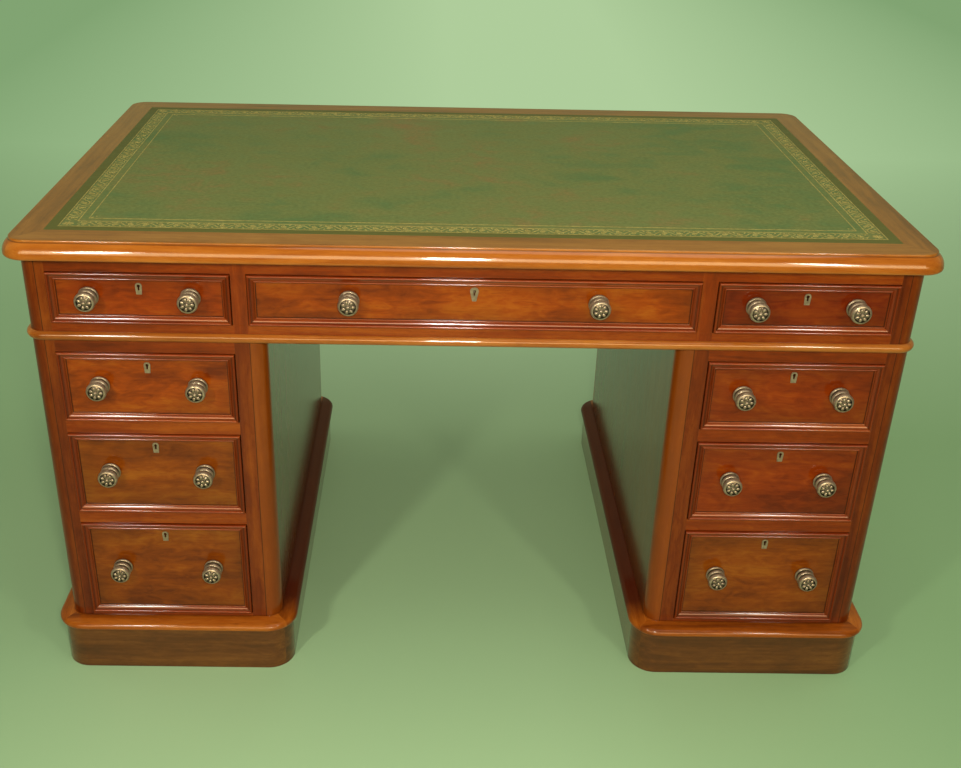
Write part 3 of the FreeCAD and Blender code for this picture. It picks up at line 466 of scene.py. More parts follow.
@dataclass(frozen=True)
class KneeholeShade:
    """Painted shade in the kneehole: the wood behind its front is painted darker and given a thinner coat.
    """

    half_width: float
    start: float
    fade: float = 60 * MM
    depth: float = 0.9
    colour: Colour = tone(0.066, 0.007, 0.003)
    coat_left: float = 0.55

    def mask(self, graph: Graph, place: Socket) -> Socket:
        """Returns how strong the painted shade is, from 0 to its depth."""
        parts = graph.split(place)
        inside = graph.math("LESS_THAN", graph.math("ABSOLUTE", parts["X"]), self.half_width)
        behind = graph.spread(parts["Y"], self.start, self.start + self.fade, 0.0, self.depth)
        return graph.math("MULTIPLY", inside, behind)


@dataclass(frozen=True)
class CornerJoint:
    """Where rounded corners are glued to flat stiles: a fine dark line; and a painted sheen that makes the
    kneehole's rounded corners paler.
    """

    inner: float
    outer: float
    line: DirtAndShadeLine = DirtAndShadeLine(0.8 * MM, 0.85, core_share=0.4)
    # Painted sheen on the kneehole's rounded corners: their paler colour, and how much of it.
    pale: Colour = tone(0.275, 0.062, 0.005)
    painted_sheen: float = 0.5

    def colour(self, graph: Graph, place: Socket, wood: Socket, dirt_and_shade: Colour) -> Socket:
        """Draws the joints on a post, and the painted sheen on its rounded corner in the kneehole.

        Args:
            graph: the graph to add nodes to.
            place: the piece's own coordinates.
            wood: the post's colour.
            dirt_and_shade: colour of the dark joint lines.

        Returns:
            The colour with the joints.
        """
        across = graph.math("ABSOLUTE", graph.split(place)["X"])
        rounded = graph.math("LESS_THAN", across, self.inner)
        # Painted sheen: the rounded corners in the kneehole are painted paler.
        wood = graph.mix(graph.math("MULTIPLY", rounded, self.painted_sheen), wood, self.pale)
        for joint in (self.inner, self.outer):
            wood = self.line.draw(graph, wood, across, joint, dirt_and_shade)
        return wood


@dataclass(frozen=True)
class Lay:
    """How a node's boards lie."""

    run: Run = Run.LENGTHWISE
    ring: Optional[Ring] = None
    upright_span: Optional[Pair] = None
    # Painted shade in the kneehole, where one is given.
    kneehole_shade: Optional[KneeholeShade] = None
    joint: Optional[CornerJoint] = None
    shift: Triple = (0.0, 0.0, 0.0)

    def vector(self, graph: Graph, place: Socket) -> Socket:
        """Turns a piece's coordinates to its grain.

        Args:
            graph: the graph to add nodes to.
            place: the piece's own coordinates.

        Returns:
            Coordinates whose first axis is along the grain.
        """
        parts = graph.split(place)
        turned = graph.joined(parts, self.run)
        if self.ring:
            turned = graph.pick(
                self.ring.crosswise(graph, parts), turned, graph.joined(parts, Run.CROSSWISE)
            )
        if self.upright_span:
            inside = graph.inset(graph.math("ABSOLUTE", parts["X"]), span(*self.upright_span))
            standing = graph.joined(parts, Run.UPRIGHT)
            turned = graph.pick(graph.math("GREATER_THAN", inside, 0.0), turned, standing)
        return graph.vector("ADD", turned, self.shift)


@dataclass(frozen=True)
class Gloss:
    """How a finish shines."""

    coat: float
    coat_roughness: float
    bump: float = 0.05
    specular: float = 0.05

    def inputs(self, coat: Optional[Socket] = None) -> Dict[str, Any]:
        """Returns a shader's inputs for this shine, with the coat's weight where it varies."""
        return {
            "Specular IOR Level": self.specular,
            "Coat Weight": self.coat if coat is None else coat,
            "Coat Roughness": self.coat_roughness,
        }


FRENCH_POLISH = Gloss(coat=0.5, coat_roughness=0.06)
PANEL_POLISH = Gloss(coat=0.5, coat_roughness=0.09)
THICK_POLISH = Gloss(coat=0.9, coat_roughness=0.06)
MIRROR_POLISH = Gloss(coat=1.0, coat_roughness=0.08)
BARE = Gloss(coat=0.0, coat_roughness=0.3, bump=0.3, specular=0.3)


@dataclass(frozen=True, kw_only=True)
class Finish:
    """What wood and metal share: how they darken in corners, with soiling and painted shade, and are rubbed
    bare.
    """

    grime_and_shade: float
    rub: float
    reach: float

    def aged(self, graph: Graph, colour: Socket, place: Socket, dirt_and_shade: Colour, bare: Colour) -> Socket:
        """Adds the patina, with soiling and painted shade in the corners.

        Args:
            graph: the material's graph.
            colour: the colour before it aged.
            place: the piece's own coordinates.
            dirt_and_shade: colour of the soiling, tarnish and painted shade in its corners.
            bare: colour of its rubbed edges.

        Returns:
            The aged colour.
        """
        inputs = {
            "Colour": colour,
            "Dirt_and_shade": dirt_and_shade,
            "Bare": bare,
            "Grime_and_shade": self.grime_and_shade,
            "Rub": self.rub,
            "Reach": self.reach,
            "Vector": place,
        }
        return graph.effect(Patina.tree(), inputs).outputs["Colour"]


@dataclass(frozen=True, kw_only=True)
class WoodFinish(Finish):
    """A wood with its colours, figure and polish."""

    tones: Tuple[Colour, ...]
    figure: float
    streaks: float = 1.0
    gloss: Gloss = FRENCH_POLISH
    grime_and_shade: float = 0.55
    rub: float = 0.3
    reach: float = 14 * MM
    easing: float = 0.8 * MM
    easing_rays: int = 4
    pore_depth: float = 0.3 * MM
    # Colour of soiling and painted shade in corners, quirks and near mouldings, and of dark joint lines.
    dirt_and_shade: Colour = tone(0.028, 0.008, 0.002)

    def grain(self, graph: Graph, vector: Socket) -> Node:
        """Places the grain in this finish's colours."""
        inputs = {"Vector": vector, "Figure": self.figure, "Streaks": self.streaks}
        inputs.update(zip(("Dark", "Mid", "Light"), self.tones))
        return graph.effect(MahoganyGrain.tree(), inputs)

    def close(
        self, graph: Graph, colour: Socket, grain: Node, place: Socket, coat: Optional[Socket] = None
    ) -> None:
        """Adds the patina, the polish and the material's output.

        Args:
            graph: the material's graph.
            colour: the wood's colour before it aged.
            grain: the node that gives height and roughness.
            place: the piece's own coordinates.
            coat: how thick the polish is, where it varies.
        """
        eased = graph.node("ShaderNodeBevel", {"Radius": self.easing}, samples=self.easing_rays).outputs[0]
        height = grain.outputs["Height"]
        inputs = {
            "Base Color": self.aged(graph, colour, place, self.dirt_and_shade, self.tones[-1]),
            "Roughness": grain.outputs["Roughness"],
            "Normal": graph.bump(height, self.gloss.bump, self.pore_depth, eased),
        }
        graph.surface({**inputs, **self.gloss.inputs(coat)})

    def material(self, name: str, lay: Lay) -> Material:
        """Makes the material of a node whose boards lie in one way.

        Args:
            name: the material's name.
            lay: how the boards lie.

        Returns:
            The new material.
        """
        made, graph = new_material(name)
        place = graph.place()
        grain = self.grain(graph, lay.vector(graph, place))
        colour = grain.outputs["Colour"]
        coat = None
        # Painted shade in the kneehole: a darker colour and a thinner coat behind its front.
        if lay.kneehole_shade:
            darkening = lay.kneehole_shade.mask(graph, place)
            colour = graph.mix(darkening, colour, lay.kneehole_shade.colour)
            coat = graph.between(darkening, self.gloss.coat, self.gloss.coat * lay.kneehole_shade.coat_left)
        if lay.joint:
            colour = lay.joint.colour(graph, place, colour, self.dirt_and_shade)
        self.close(graph, colour, grain, place, coat)
        return made


TOP_MAHOGANY = WoodFinish(
    tones=tones((0.175, 0.055, 0.007), (0.305, 0.106, 0.013), (0.400, 0.158, 0.025)),
    figure=0.5,
    gloss=Gloss(coat=0.75, coat_roughness=0.08),
)
NOSE_MAHOGANY = WoodFinish(
    tones=tones((0.270, 0.058, 0.004), (0.405, 0.112, 0.010), (0.520, 0.172, 0.022)),
    figure=0.35,
    gloss=MIRROR_POLISH,
)
CARCASE_MAHOGANY = WoodFinish(
    tones=tones((0.100, 0.012, 0.001), (0.215, 0.028, 0.001), (0.320, 0.064, 0.004)),
    figure=0.5,
)
POST_MAHOGANY = WoodFinish(
    tones=tones((0.075, 0.008, 0.001), (0.150, 0.020, 0.001), (0.245, 0.048, 0.003)),
    figure=0.5,
)
# Painted shade: the carcase wood painted darker and browner for the kneehole's sides.
SHADED_SIDE_MAHOGANY = WoodFinish(
    tones=tones((0.060, 0.010, 0.001), (0.120, 0.024, 0.001), (0.180, 0.045, 0.003)),
    figure=0.4,
    streaks=0.6,
    gloss=Gloss(coat=0.9, coat_roughness=0.17),
)
GOLDEN_PANEL = WoodFinish(
    tones=tones((0.150, 0.018, 0.001), (0.325, 0.050, 0.001), (0.430, 0.100, 0.004)),
    figure=0.9,
    streaks=0.55,
    gloss=PANEL_POLISH,
    rub=0.12,
    easing=0.5 * MM,
)
RED_PANEL = replace(
    GOLDEN_PANEL, tones=tones((0.130, 0.012, 0.001), (0.245, 0.028, 0.001), (0.340, 0.064, 0.003))
)
WARM_PANEL = replace(
    GOLDEN_PANEL, tones=tones((0.150, 0.015, 0.001), (0.310, 0.038, 0.001), (0.410, 0.080, 0.003))
)
DEEP_RED_PANEL = replace(
    GOLDEN_PANEL, tones=tones((0.100, 0.008, 0.001), (0.190, 0.016, 0.001), (0.280, 0.042, 0.002))
)
BROWN_PANEL = replace(
    GOLDEN_PANEL, tones=tones((0.125, 0.020, 0.002), (0.245, 0.048, 0.002), (0.330, 0.090, 0.005))
)
STRIP_MAHOGANY = WoodFinish(
    tones=tones((0.110, 0.010, 0.001), (0.235, 0.028, 0.002), (0.350, 0.070, 0.010)),
    figure=0.25,
    gloss=THICK_POLISH,
)
PLINTH_MAHOGANY = WoodFinish(
    tones=tones((0.055, 0.013, 0.001), (0.112, 0.028, 0.002), (0.185, 0.056, 0.006)),
    figure=0.5,
    gloss=MIRROR_POLISH,
)
PLINTH_MOULDING_MAHOGANY = WoodFinish(
    tones=tones((0.130, 0.024, 0.002), (0.320, 0.072, 0.005), (0.450, 0.130, 0.014)),
    figure=0.35,
    rub=0.55,
)
BEAD_MAHOGANY = replace(
    PLINTH_MOULDING_MAHOGANY,
    tones=tones((0.200, 0.045, 0.004), (0.390, 0.108, 0.012), (0.500, 0.180, 0.030)),
    gloss=THICK_POLISH,
)
OAK_LINING = WoodFinish(
    tones=tones((0.26, 0.15, 0.07), (0.46, 0.30, 0.16), (0.58, 0.42, 0.25)),
    figure=0.3,
    gloss=BARE,
    dirt_and_shade=tone(0.10, 0.055, 0.025),
)
PINE = WoodFinish(
    tones=tones((0.36, 0.21, 0.10), (0.54, 0.36, 0.18), (0.66, 0.48, 0.28)),
    figure=0.2,
    gloss=BARE,
    dirt_and_shade=tone(0.14, 0.08, 0.04),
)

# Veneer of the drawers whose panels differ from the golden ones.
VENEERS = {
    "left_frieze": WARM_PANEL,
    "right_frieze": DEEP_RED_PANEL,
    "right_top": RED_PANEL,
    "right_middle": RED_PANEL,
    "right_bottom": BROWN_PANEL,
    "left_middle": BROWN_PANEL,
    "left_bottom": BROWN_PANEL,
}


@dataclass(frozen=True)
class DrawerFrontFinish:
    """A figured panel with redder edge mouldings that are mitred at its corners."""

    panel: WoodFinish
    strip: WoodFinish = STRIP_MAHOGANY
    strip_width: float = 12.4 * MM
    # Painted shade: dark lines drawn along the mouldings' quirks.
    quirks: Pair = (5.0 * MM, 12.6 * MM)
    quirk_shade_line: DirtAndShadeLine = DirtAndShadeLine(1.2 * MM, 0.75)
    # Painted shade: the upright mouldings are painted darker and redder than the level ones, and given a
    # thinner coat.
    upright_shade_colour: Colour = tone(0.125, 0.014, 0.001)
    upright_shade: float = 0.75
    upright_dulled: float = 0.45
    # Painted shade and dirt: the panel darkens in patches towards its mouldings.
    margin: float = 45 * MM
    margin_shade: float = 0.4
    cloud: Noise = Noise((9.0, 14.0, 14.0), detail=3.0)
    cloud_levels: Pair = (0.3, 0.6)
    cloud_least: float = 0.3

    def material(self, name: str, shift: Triple) -> Material:
        """Makes the material of one drawer front.

        Args:
            name: the CAD node's name, and the material's.
            shift: where in the log this front was cut.

        Returns:
            The new material.
        """
        low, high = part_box(name)
        made, graph = new_material(name)
        place = graph.place()
        parts = graph.split(place)
        side = graph.inset(parts["X"], span(low.x, high.x))
        end = graph.inset(parts["Z"], span(low.z, high.z))
        inset = graph.math("MINIMUM", side, end)
        on_strip = graph.math("LESS_THAN", inset, self.strip_width)
        upright = graph.math("MULTIPLY", graph.math("LESS_THAN", side, end), on_strip)
        turned = graph.pick(upright, graph.joined(parts, Run.LENGTHWISE), graph.joined(parts, Run.UPRIGHT))
        vector = graph.vector("ADD", turned, shift)
        panel = self.panel.grain(graph, vector)
        strip = self.strip.grain(graph, vector).outputs["Colour"]
        cloud = graph.spread(graph.noise(vector, self.cloud), *self.cloud_levels, self.cloud_least)
        panel_start = self.strip_width
        # Painted shade and dirt near the mouldings.
        near = graph.spread(inset, panel_start, panel_start + self.margin, self.margin_shade, 0.0)
        darkening = graph.mix(graph.math("MULTIPLY", near, cloud), panel.outputs["Colour"], self.panel.dirt_and_shade)
        # Painted shade on the upright mouldings.
        strip = graph.mix(graph.math("MULTIPLY", upright, self.upright_shade), strip, self.upright_shade_colour)
        colour = graph.mix(on_strip, darkening, strip)
        # Painted shade in the quirks of the mouldings.
        for quirk in self.quirks:
            colour = self.quirk_shade_line.draw(graph, colour, inset, quirk, self.strip.dirt_and_shade)
        coat = graph.between(on_strip, self.panel.gloss.coat, self.strip.gloss.coat)
        coat = graph.math("SUBTRACT", coat, graph.math("MULTIPLY", upright, self.upright_dulled))
        self.panel.close(graph, colour, panel, place, coat)
        return made


@dataclass(frozen=True)
class TopBoardFinish:
    """A flat border with a more golden moulded edge below it."""

    border: WoodFinish = TOP_MAHOGANY
    edge: WoodFinish = NOSE_MAHOGANY
    step: float = 1.0 * MM
    # Painted shade: a dark line drawn in the quirk at the foot of the step.
    quirk: float = 3.9 * MM
    quirk_shade_line: DirtAndShadeLine = DirtAndShadeLine(1.3 * MM, 0.6)

    def material(self, name: str, lay: Lay, top: float) -> Material:
        """Makes the board's material.

        Args:
            name: the material's name.
            lay: how the board's sides lie.
            top: height of its flat face.

        Returns:
            The new material.
        """
        made, graph = new_material(name)
        place = graph.place()
        vector = lay.vector(graph, place)
        border = self.border.grain(graph, vector)
        edge = self.edge.grain(graph, vector)
        level = graph.split(place)["Z"]
        below = graph.math("LESS_THAN", level, top - self.step)
        colour = graph.mix(below, border.outputs["Colour"], edge.outputs["Colour"])
        # Painted shade in the quirk.
        colour = self.quirk_shade_line.draw(graph, colour, level, top - self.quirk, self.edge.dirt_and_shade)
        coat = graph.between(below, self.border.gloss.coat, self.edge.gloss.coat)
        self.border.close(graph, colour, border, place, coat)
        return made


@dataclass(frozen=True)
class SideBoardFinish:
    """Sides of the pedestals: red outer boards, and browner ones with a thicker polish in the kneehole,
    painted darker there as painted shade.
    """

    outer: WoodFinish = CARCASE_MAHOGANY
    inner: WoodFinish = SHADED_SIDE_MAHOGANY

    def material(self, name: str, lay: Lay, divide: float) -> Material:
        """Makes the material of all the sides.

        Args:
            name: the material's name.
            lay: how the boards lie.
            divide: how far from the middle the outer boards begin.

        Returns:
            The new material.
        """
        made, graph = new_material(name)
        place = graph.place()
        vector = lay.vector(graph, place)
        outer = self.outer.grain(graph, vector)
        inner = self.inner.grain(graph, vector)
        outside = graph.math("GREATER_THAN", graph.math("ABSOLUTE", graph.split(place)["X"]), divide)
        # Painted shade: the boards in the kneehole take the darker wood.
        colour = graph.mix(outside, inner.outputs["Colour"], outer.outputs["Colour"])
        coat = graph.between(outside, self.inner.gloss.coat, self.outer.gloss.coat)
        self.inner.close(graph, colour, inner, place, coat)
        return made


@dataclass(frozen=True)
class LeatherFinish:
    """Waxed green hide with worn brown patches and a darker margin outside its tooling."""

    green: Colour = tone(0.104, 0.176, 0.052)
    olive: Colour = tone(0.180, 0.203, 0.056)
    olive_levels: Pair = (0.38, 0.52)
    russet: Colour = tone(0.285, 0.165, 0.055)
    russet_levels: Pair = (0.55, 0.72)
    margin: Colour = tone(0.105, 0.092, 0.014)
    margin_width: float = 17 * MM
    margin_fade: float = 3 * MM
    margin_dark: float = 0.85
    broad: Noise = Noise((3.2, 4.5, 4.5))
    patch: Noise = Noise((17.0, 26.0, 26.0), detail=5.0, roughness=0.65, distortion=0.4)
    speck: Noise = Noise((150.0, 200.0, 200.0), detail=4.0, roughness=0.65)
    even: float = 0.5
    speck_share: float = 0.25
    mottle_levels: Pair = (0.62, 0.36)
    mottle: float = 0.5
    pebbles: float = 620.0
    pebble_depth: float = 0.2 * MM
    patch_levels: Pair = (0.3, 0.7)
    roughness: Pair = (0.36, 0.52)
    gloss: Gloss = Gloss(coat=0.14, coat_roughness=0.28, bump=0.12, specular=0.2)

    def material(self, name: str) -> Material:
        """Makes the leather's material.

        Args:
            name: the CAD node's name, and the material's.

        Returns:
            The new material.
        """
        low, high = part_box(name)
        made, graph = new_material(name)
        place = graph.place()
        parts = graph.split(place)
        side = graph.inset(parts["X"], span(low.x, high.x))
        end = graph.inset(parts["Y"], span(low.y, high.y))
        broad = graph.math("MULTIPLY", graph.noise(place, self.broad), self.even)
        patch = graph.noise(place, self.patch)
        speck = graph.noise(place, self.speck)
        worn = graph.math("ADD", broad, graph.math("MULTIPLY", patch, self.even))
        grit = graph.math("MULTIPLY", graph.math("SUBTRACT", speck, self.even), self.speck_share)
        worn = graph.math("ADD", worn, grit)
        colour = graph.mix(graph.spread(worn, *self.olive_levels), self.green, self.olive)
        colour = graph.mix(graph.spread(worn, *self.russet_levels), colour, self.russet)
        mottled = graph.spread(speck, *self.mottle_levels, 0.0, self.mottle)
        colour = graph.mix(mottled, colour, self.margin)
        edge = graph.math("MINIMUM", side, end)
        outside = graph.spread(edge, self.margin_width, self.margin_width + self.margin_fade, 1.0, 0.0)
        colour = graph.mix(graph.math("MULTIPLY", outside, self.margin_dark), colour, self.margin)
        cells = graph.node("ShaderNodeTexVoronoi", {"Vector": place, "Scale": self.pebbles})
        height = graph.math("ADD", cells.outputs["Distance"], speck)
        inputs = {
            "Base Color": colour,
            "Roughness": graph.spread(patch, *self.patch_levels, *self.roughness),
            "Normal": graph.bump(height, self.gloss.bump, self.pebble_depth),
        }
        graph.surface({**inputs, **self.gloss.inputs()})
        return made


@dataclass(frozen=True, kw_only=True)
class MetalFinish(Finish):
    """A cast or rolled metal with tarnish in its hollows."""

    bright: Colour
    dull: Colour
    tarnish: Colour
    roughness: float
    metallic: float
    reach: float = 5 * MM
    groove_line: DirtAndShadeLine = DirtAndShadeLine(2.6 * MM, 0.9, core_share=0.6)
    patch: Noise = Noise((140.0, 140.0, 140.0), detail=4.0, roughness=0.6)
    patch_levels: Pair = (0.35, 0.65)
    fine: Noise = Noise((900.0, 900.0, 900.0))
    fine_strength: float = 0.15
    fine_depth: float = 0.1 * MM
    sheen_levels: Pair = (0.3, 0.7)
    duller: float = 0.1
    shinier: float = 0.05

    def material(self, name: str, grooves: Sequence[float] = ()) -> Material:
        """Makes the metal's material.

        Args:
            name: the material's name.
            grooves: places along Y of grooves that hold tarnish.

        Returns:
            The new material.
        """
        made, graph = new_material(name)
        place = graph.place()
        depth = graph.split(place)["Y"]
        patch = graph.noise(place, self.patch)
        colour = graph.mix(graph.spread(patch, *self.patch_levels), self.dull, self.bright)
        for groove in grooves:
            colour = self.groove_line.draw(graph, colour, depth, groove, self.tarnish)
        sheen = (self.roughness + self.duller, self.roughness - self.shinier)
        inputs = {
            "Base Color": self.aged(graph, colour, place, self.tarnish, self.bright),
            "Roughness": graph.spread(patch, *self.sheen_levels, *sheen),
            "Metallic": self.metallic,
            "Normal": graph.bump(graph.noise(place, self.fine), self.fine_strength, self.fine_depth),
        }
        graph.surface(inputs)
        return made


AGED_BRASS = MetalFinish(
    bright=tone(0.39, 0.295, 0.19),
    dull=tone(0.225, 0.158, 0.098),
    tarnish=tone(0.045, 0.030, 0.016),
    roughness=0.32,
    grime_and_shade=1.7,
    rub=0.6,
    metallic=0.5,
    reach=8 * MM,
)
PALE_BRASS = MetalFinish(
    bright=tone(0.33, 0.25, 0.15),
    dull=tone(0.21, 0.152, 0.088),
    tarnish=tone(0.08, 0.05, 0.02),
    roughness=0.36,
    grime_and_shade=0.8,
    rub=0.3,
    metallic=0.4,
)
DULL_GILT = MetalFinish(
    bright=tone(0.72, 0.53, 0.17),
    dull=tone(0.38, 0.27, 0.07),
    tarnish=tone(0.06, 0.05, 0.02),
    roughness=0.45,
    grime_and_shade=0.0,
    rub=0.0,
    metallic=0.5,
)


# Meshes


def finished(name: str, shape: Shape, smooth: bool = True, crease: float = math.pi) -> bpy.types.Object:
    """Makes an object of a bmesh, at the origin, and frees the bmesh.

    Args:
        name: the piece's name.
        shape: its mesh, in place.
        smooth: whether its faces shade smoothly.
        crease: angle between faces past which an edge stays sharp.

    Returns:
        The new object, linked to the scene.
    """
    mesh = bpy.data.meshes.new(name)
    for face in shape.faces:
        face.smooth = smooth
    for edge in shape.edges:
        edge.smooth = edge.calc_face_angle(0.0) < crease
    shape.to_mesh(mesh)
    shape.free()
    made = bpy.data.objects.new(name, mesh)
    bpy.context.scene.collection.objects.link(made)
    return made


def pour(source: Shape, target: Shape) -> None:
    """Adds one bmesh to another, and frees it.

    Args:
        source: the bmesh to add.
        target: the bmesh that it goes into.
    """
    mesh = bpy.data.meshes.new("poured")
    source.to_mesh(mesh)
    source.free()
    target.from_mesh(mesh)
    bpy.data.meshes.remove(mesh)


def dress(node: str, material: Material) -> None:
    """Gives a CAD node one material."""
    mesh = frame["nodes"][node].data
    mesh.materials.clear()
    mesh.materials.append(material)


@dataclass
class CastKnobs:
    """The two knobs of one drawer, with their roses, stems and nuts."""

    drawer: str
    rose_radius: float = 15.4 * MM
    reach: float = 31.5 * MM
    # Start, end and radius of each ring of the stack, from the rose to the head.
    rings: Tuple[Triple, ...] = (
        (0.0, 5.0 * MM, 15.4 * MM),
        (8.0 * MM, 15.0 * MM, 14.7 * MM),
        (18.4 * MM, 28.0 * MM, 15.4 * MM),
    )
    ring_depth: float = 3.6 * MM
    ring_points: int = 8
    dome_radius: float = 12.0 * MM
    dome_foot: float = 24.6 * MM
    dome_rise: float = 3.8 * MM
    dome_points: int = 6
    petals: int = 7
    petal_ring: float = 7.4 * MM
    petal_size: Triple = (3.7 * MM, 2.7 * MM, 2.3 * MM)
    petal_level: float = 27.7 * MM
    petal_segments: Tuple[int, int] = (10, 6)
    boss_radius: float = 3.1 * MM
    boss_flatness: float = 0.9
    boss_segments: Tuple[int, int] = (14, 8)
    stem_radius: float = 2.5 * MM
    stem_segments: int = 12
    stem_end: float = 2.0 * MM
    nut_radius: float = 5.5 * MM
    nut_thickness: float = 3.5 * MM
    nut_sides: int = 6
    steps: int = 40
    crease: float = math.radians(50)
    weld: float = 0.001 * MM

    def grooves(self) -> List[float]:
        """Returns where along Y the middles of the hollows between the rings lie."""
        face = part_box(f"{self.drawer}_knobs")[0].y + self.reach
        pairs = zip(self.rings, self.rings[1:])
        return [face - (before[1] + after[0]) / 2 for before, after in pairs]

    def _profile(self) -> List[Pair]:
        """Returns the knob's outline as radius and height: half round rings, then the domed face."""
        points = [(0.0, 0.0)]
        for start, end, radius in self.rings:
            for number in range(self.ring_points + 1):
                turn = math.pi * number / self.ring_points
                height = (start + end - (end - start) * math.cos(turn)) / 2
                points.append((radius - self.ring_depth * (1 - math.sin(turn)), height))
        for number in range(self.dome_points + 1):
            share = 1 - number / self.dome_points
            points.append((self.dome_radius * share, self.dome_foot + self.dome_rise * (1 - share ** 2)))
        return points

    def _turned(self, shape: Shape) -> None:
        """Adds the knob's turned body: its outline spun about Z."""
        points = [shape.verts.new((radius, 0.0, height)) for radius, height in self._profile()]
        edges = [shape.edges.new(pair) for pair in zip(points, points[1:])]
        bmesh.ops.spin(
            shape,
            geom=points + edges,
            cent=(0, 0, 0),
            axis=(0, 0, 1),
            angle=FULL_TURN,
            steps=self.steps,
            use_merge=True,
        )

    def _flower(self, shape: Shape) -> None:
        """Adds the petals and the boss on the knob's face."""
        around, rings = self.petal_segments
        spot = Matrix.Translation((self.petal_ring, 0, self.petal_level))
        petal = spot @ Matrix.Diagonal((*self.petal_size, 1.0))
        for number in range(self.petals):
            spoke = Matrix.Rotation(FULL_TURN * number / self.petals, 4, "Z")
            bmesh.ops.create_uvsphere(
                shape, u_segments=around, v_segments=rings, radius=1.0, matrix=spoke @ petal
            )
        around, rings = self.boss_segments
        centre = Matrix.Translation((0, 0, self.reach - self.boss_radius * self.boss_flatness))
        boss = centre @ Matrix.Diagonal((1.0, 1.0, self.boss_flatness, 1.0))
        bmesh.ops.create_uvsphere(
            shape, u_segments=around, v_segments=rings, radius=self.boss_radius, matrix=boss
        )

    def _fixing(self, shape: Shape, depth: float) -> None:
        """Adds the stem and its nut behind the drawer front.

        Args:
            shape: the bmesh to add them to, still about Z.
            depth: how far behind the front's face the stem ends.
        """
        seat = self.stem_end + self.nut_thickness / 2 - depth
        stem = (self.stem_segments, self.stem_radius, depth, -depth / 2)
        nut = (self.nut_sides, self.nut_radius, self.nut_thickness, seat)
        for segments, radius, length, level in (stem, nut):
            bmesh.ops.create_cone(
                shape,
                cap_ends=True,
                segments=segments,
                radius1=radius,
                radius2=radius,
                depth=length,
                matrix=Matrix.Translation((0, 0, level)),
            )

    def build(self, material: Material) -> bpy.types.Object:
        """Builds both knobs as one piece that stands for the CAD node.

        Args:
            material: the brass that they are cast in.

        Returns:
            The piece, riding on its drawer.
        """
        low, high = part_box(f"{self.drawer}_knobs")
        face = low.y + self.reach
        both = bmesh.new()
        for across in (low.x + self.rose_radius, high.x - self.rose_radius):
            one = bmesh.new()
            self._turned(one)
            self._flower(one)
            self._fixing(one, high.y - face)
            stand = Matrix.Translation((across, face, (low.z + high.z) / 2))
            one.transform(stand @ Matrix.Rotation(math.pi / 2, 4, "X"))
            pour(one, both)
        bmesh.ops.remove_doubles(both, verts=both.verts, dist=self.weld)
        bmesh.ops.recalc_face_normals(both, faces=both.faces)
        piece = finished(f"{self.drawer}_cast_knobs", both, crease=self.crease)
        piece.data.materials.append(material)
        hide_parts(f"{self.drawer}_knobs")
        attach(piece, f"{self.drawer}_drawer")
        return piece


@dataclass
class Drawer:
    """One drawer: its front, box, knobs, lock and bolt."""

    name: str
    number: int
    panel: WoodFinish
    log_step: Triple = (0.61, 0.37, 0.23)
    lining: float = 10.5 * MM

    def build(self, brass: Material, pale_brass: Material) -> None:
        """Dresses the drawer's nodes and builds its knobs.

        Args:
            brass: the knobs' material.
            pale_brass: the lock's material.
        """
        front, box = f"{self.name}_front", f"{self.name}_box"
        shift = tuple(step * self.number for step in self.log_step)
        dress(front, DrawerFrontFinish(self.panel).material(front, shift))
        lay = Lay(ring=Ring.around(box, reach=self.lining), shift=shift)
        dress(box, OAK_LINING.material(box, lay))
        dress(f"{self.name}_lock", pale_brass)
        dress(f"{self.name}_bolt", pale_brass)
        piece = CastKnobs(self.name).build(brass)
        LOG.info("%s: %d faces in its knobs", self.name, len(piece.data.polygons))


@dataclass(frozen=True)
class TooledFlower:
    """A ring of leaves about a point, the first of them at a turn in degrees."""

    leaves: int
    ring: float
    leaf: Pair
    turn: float = 0.0


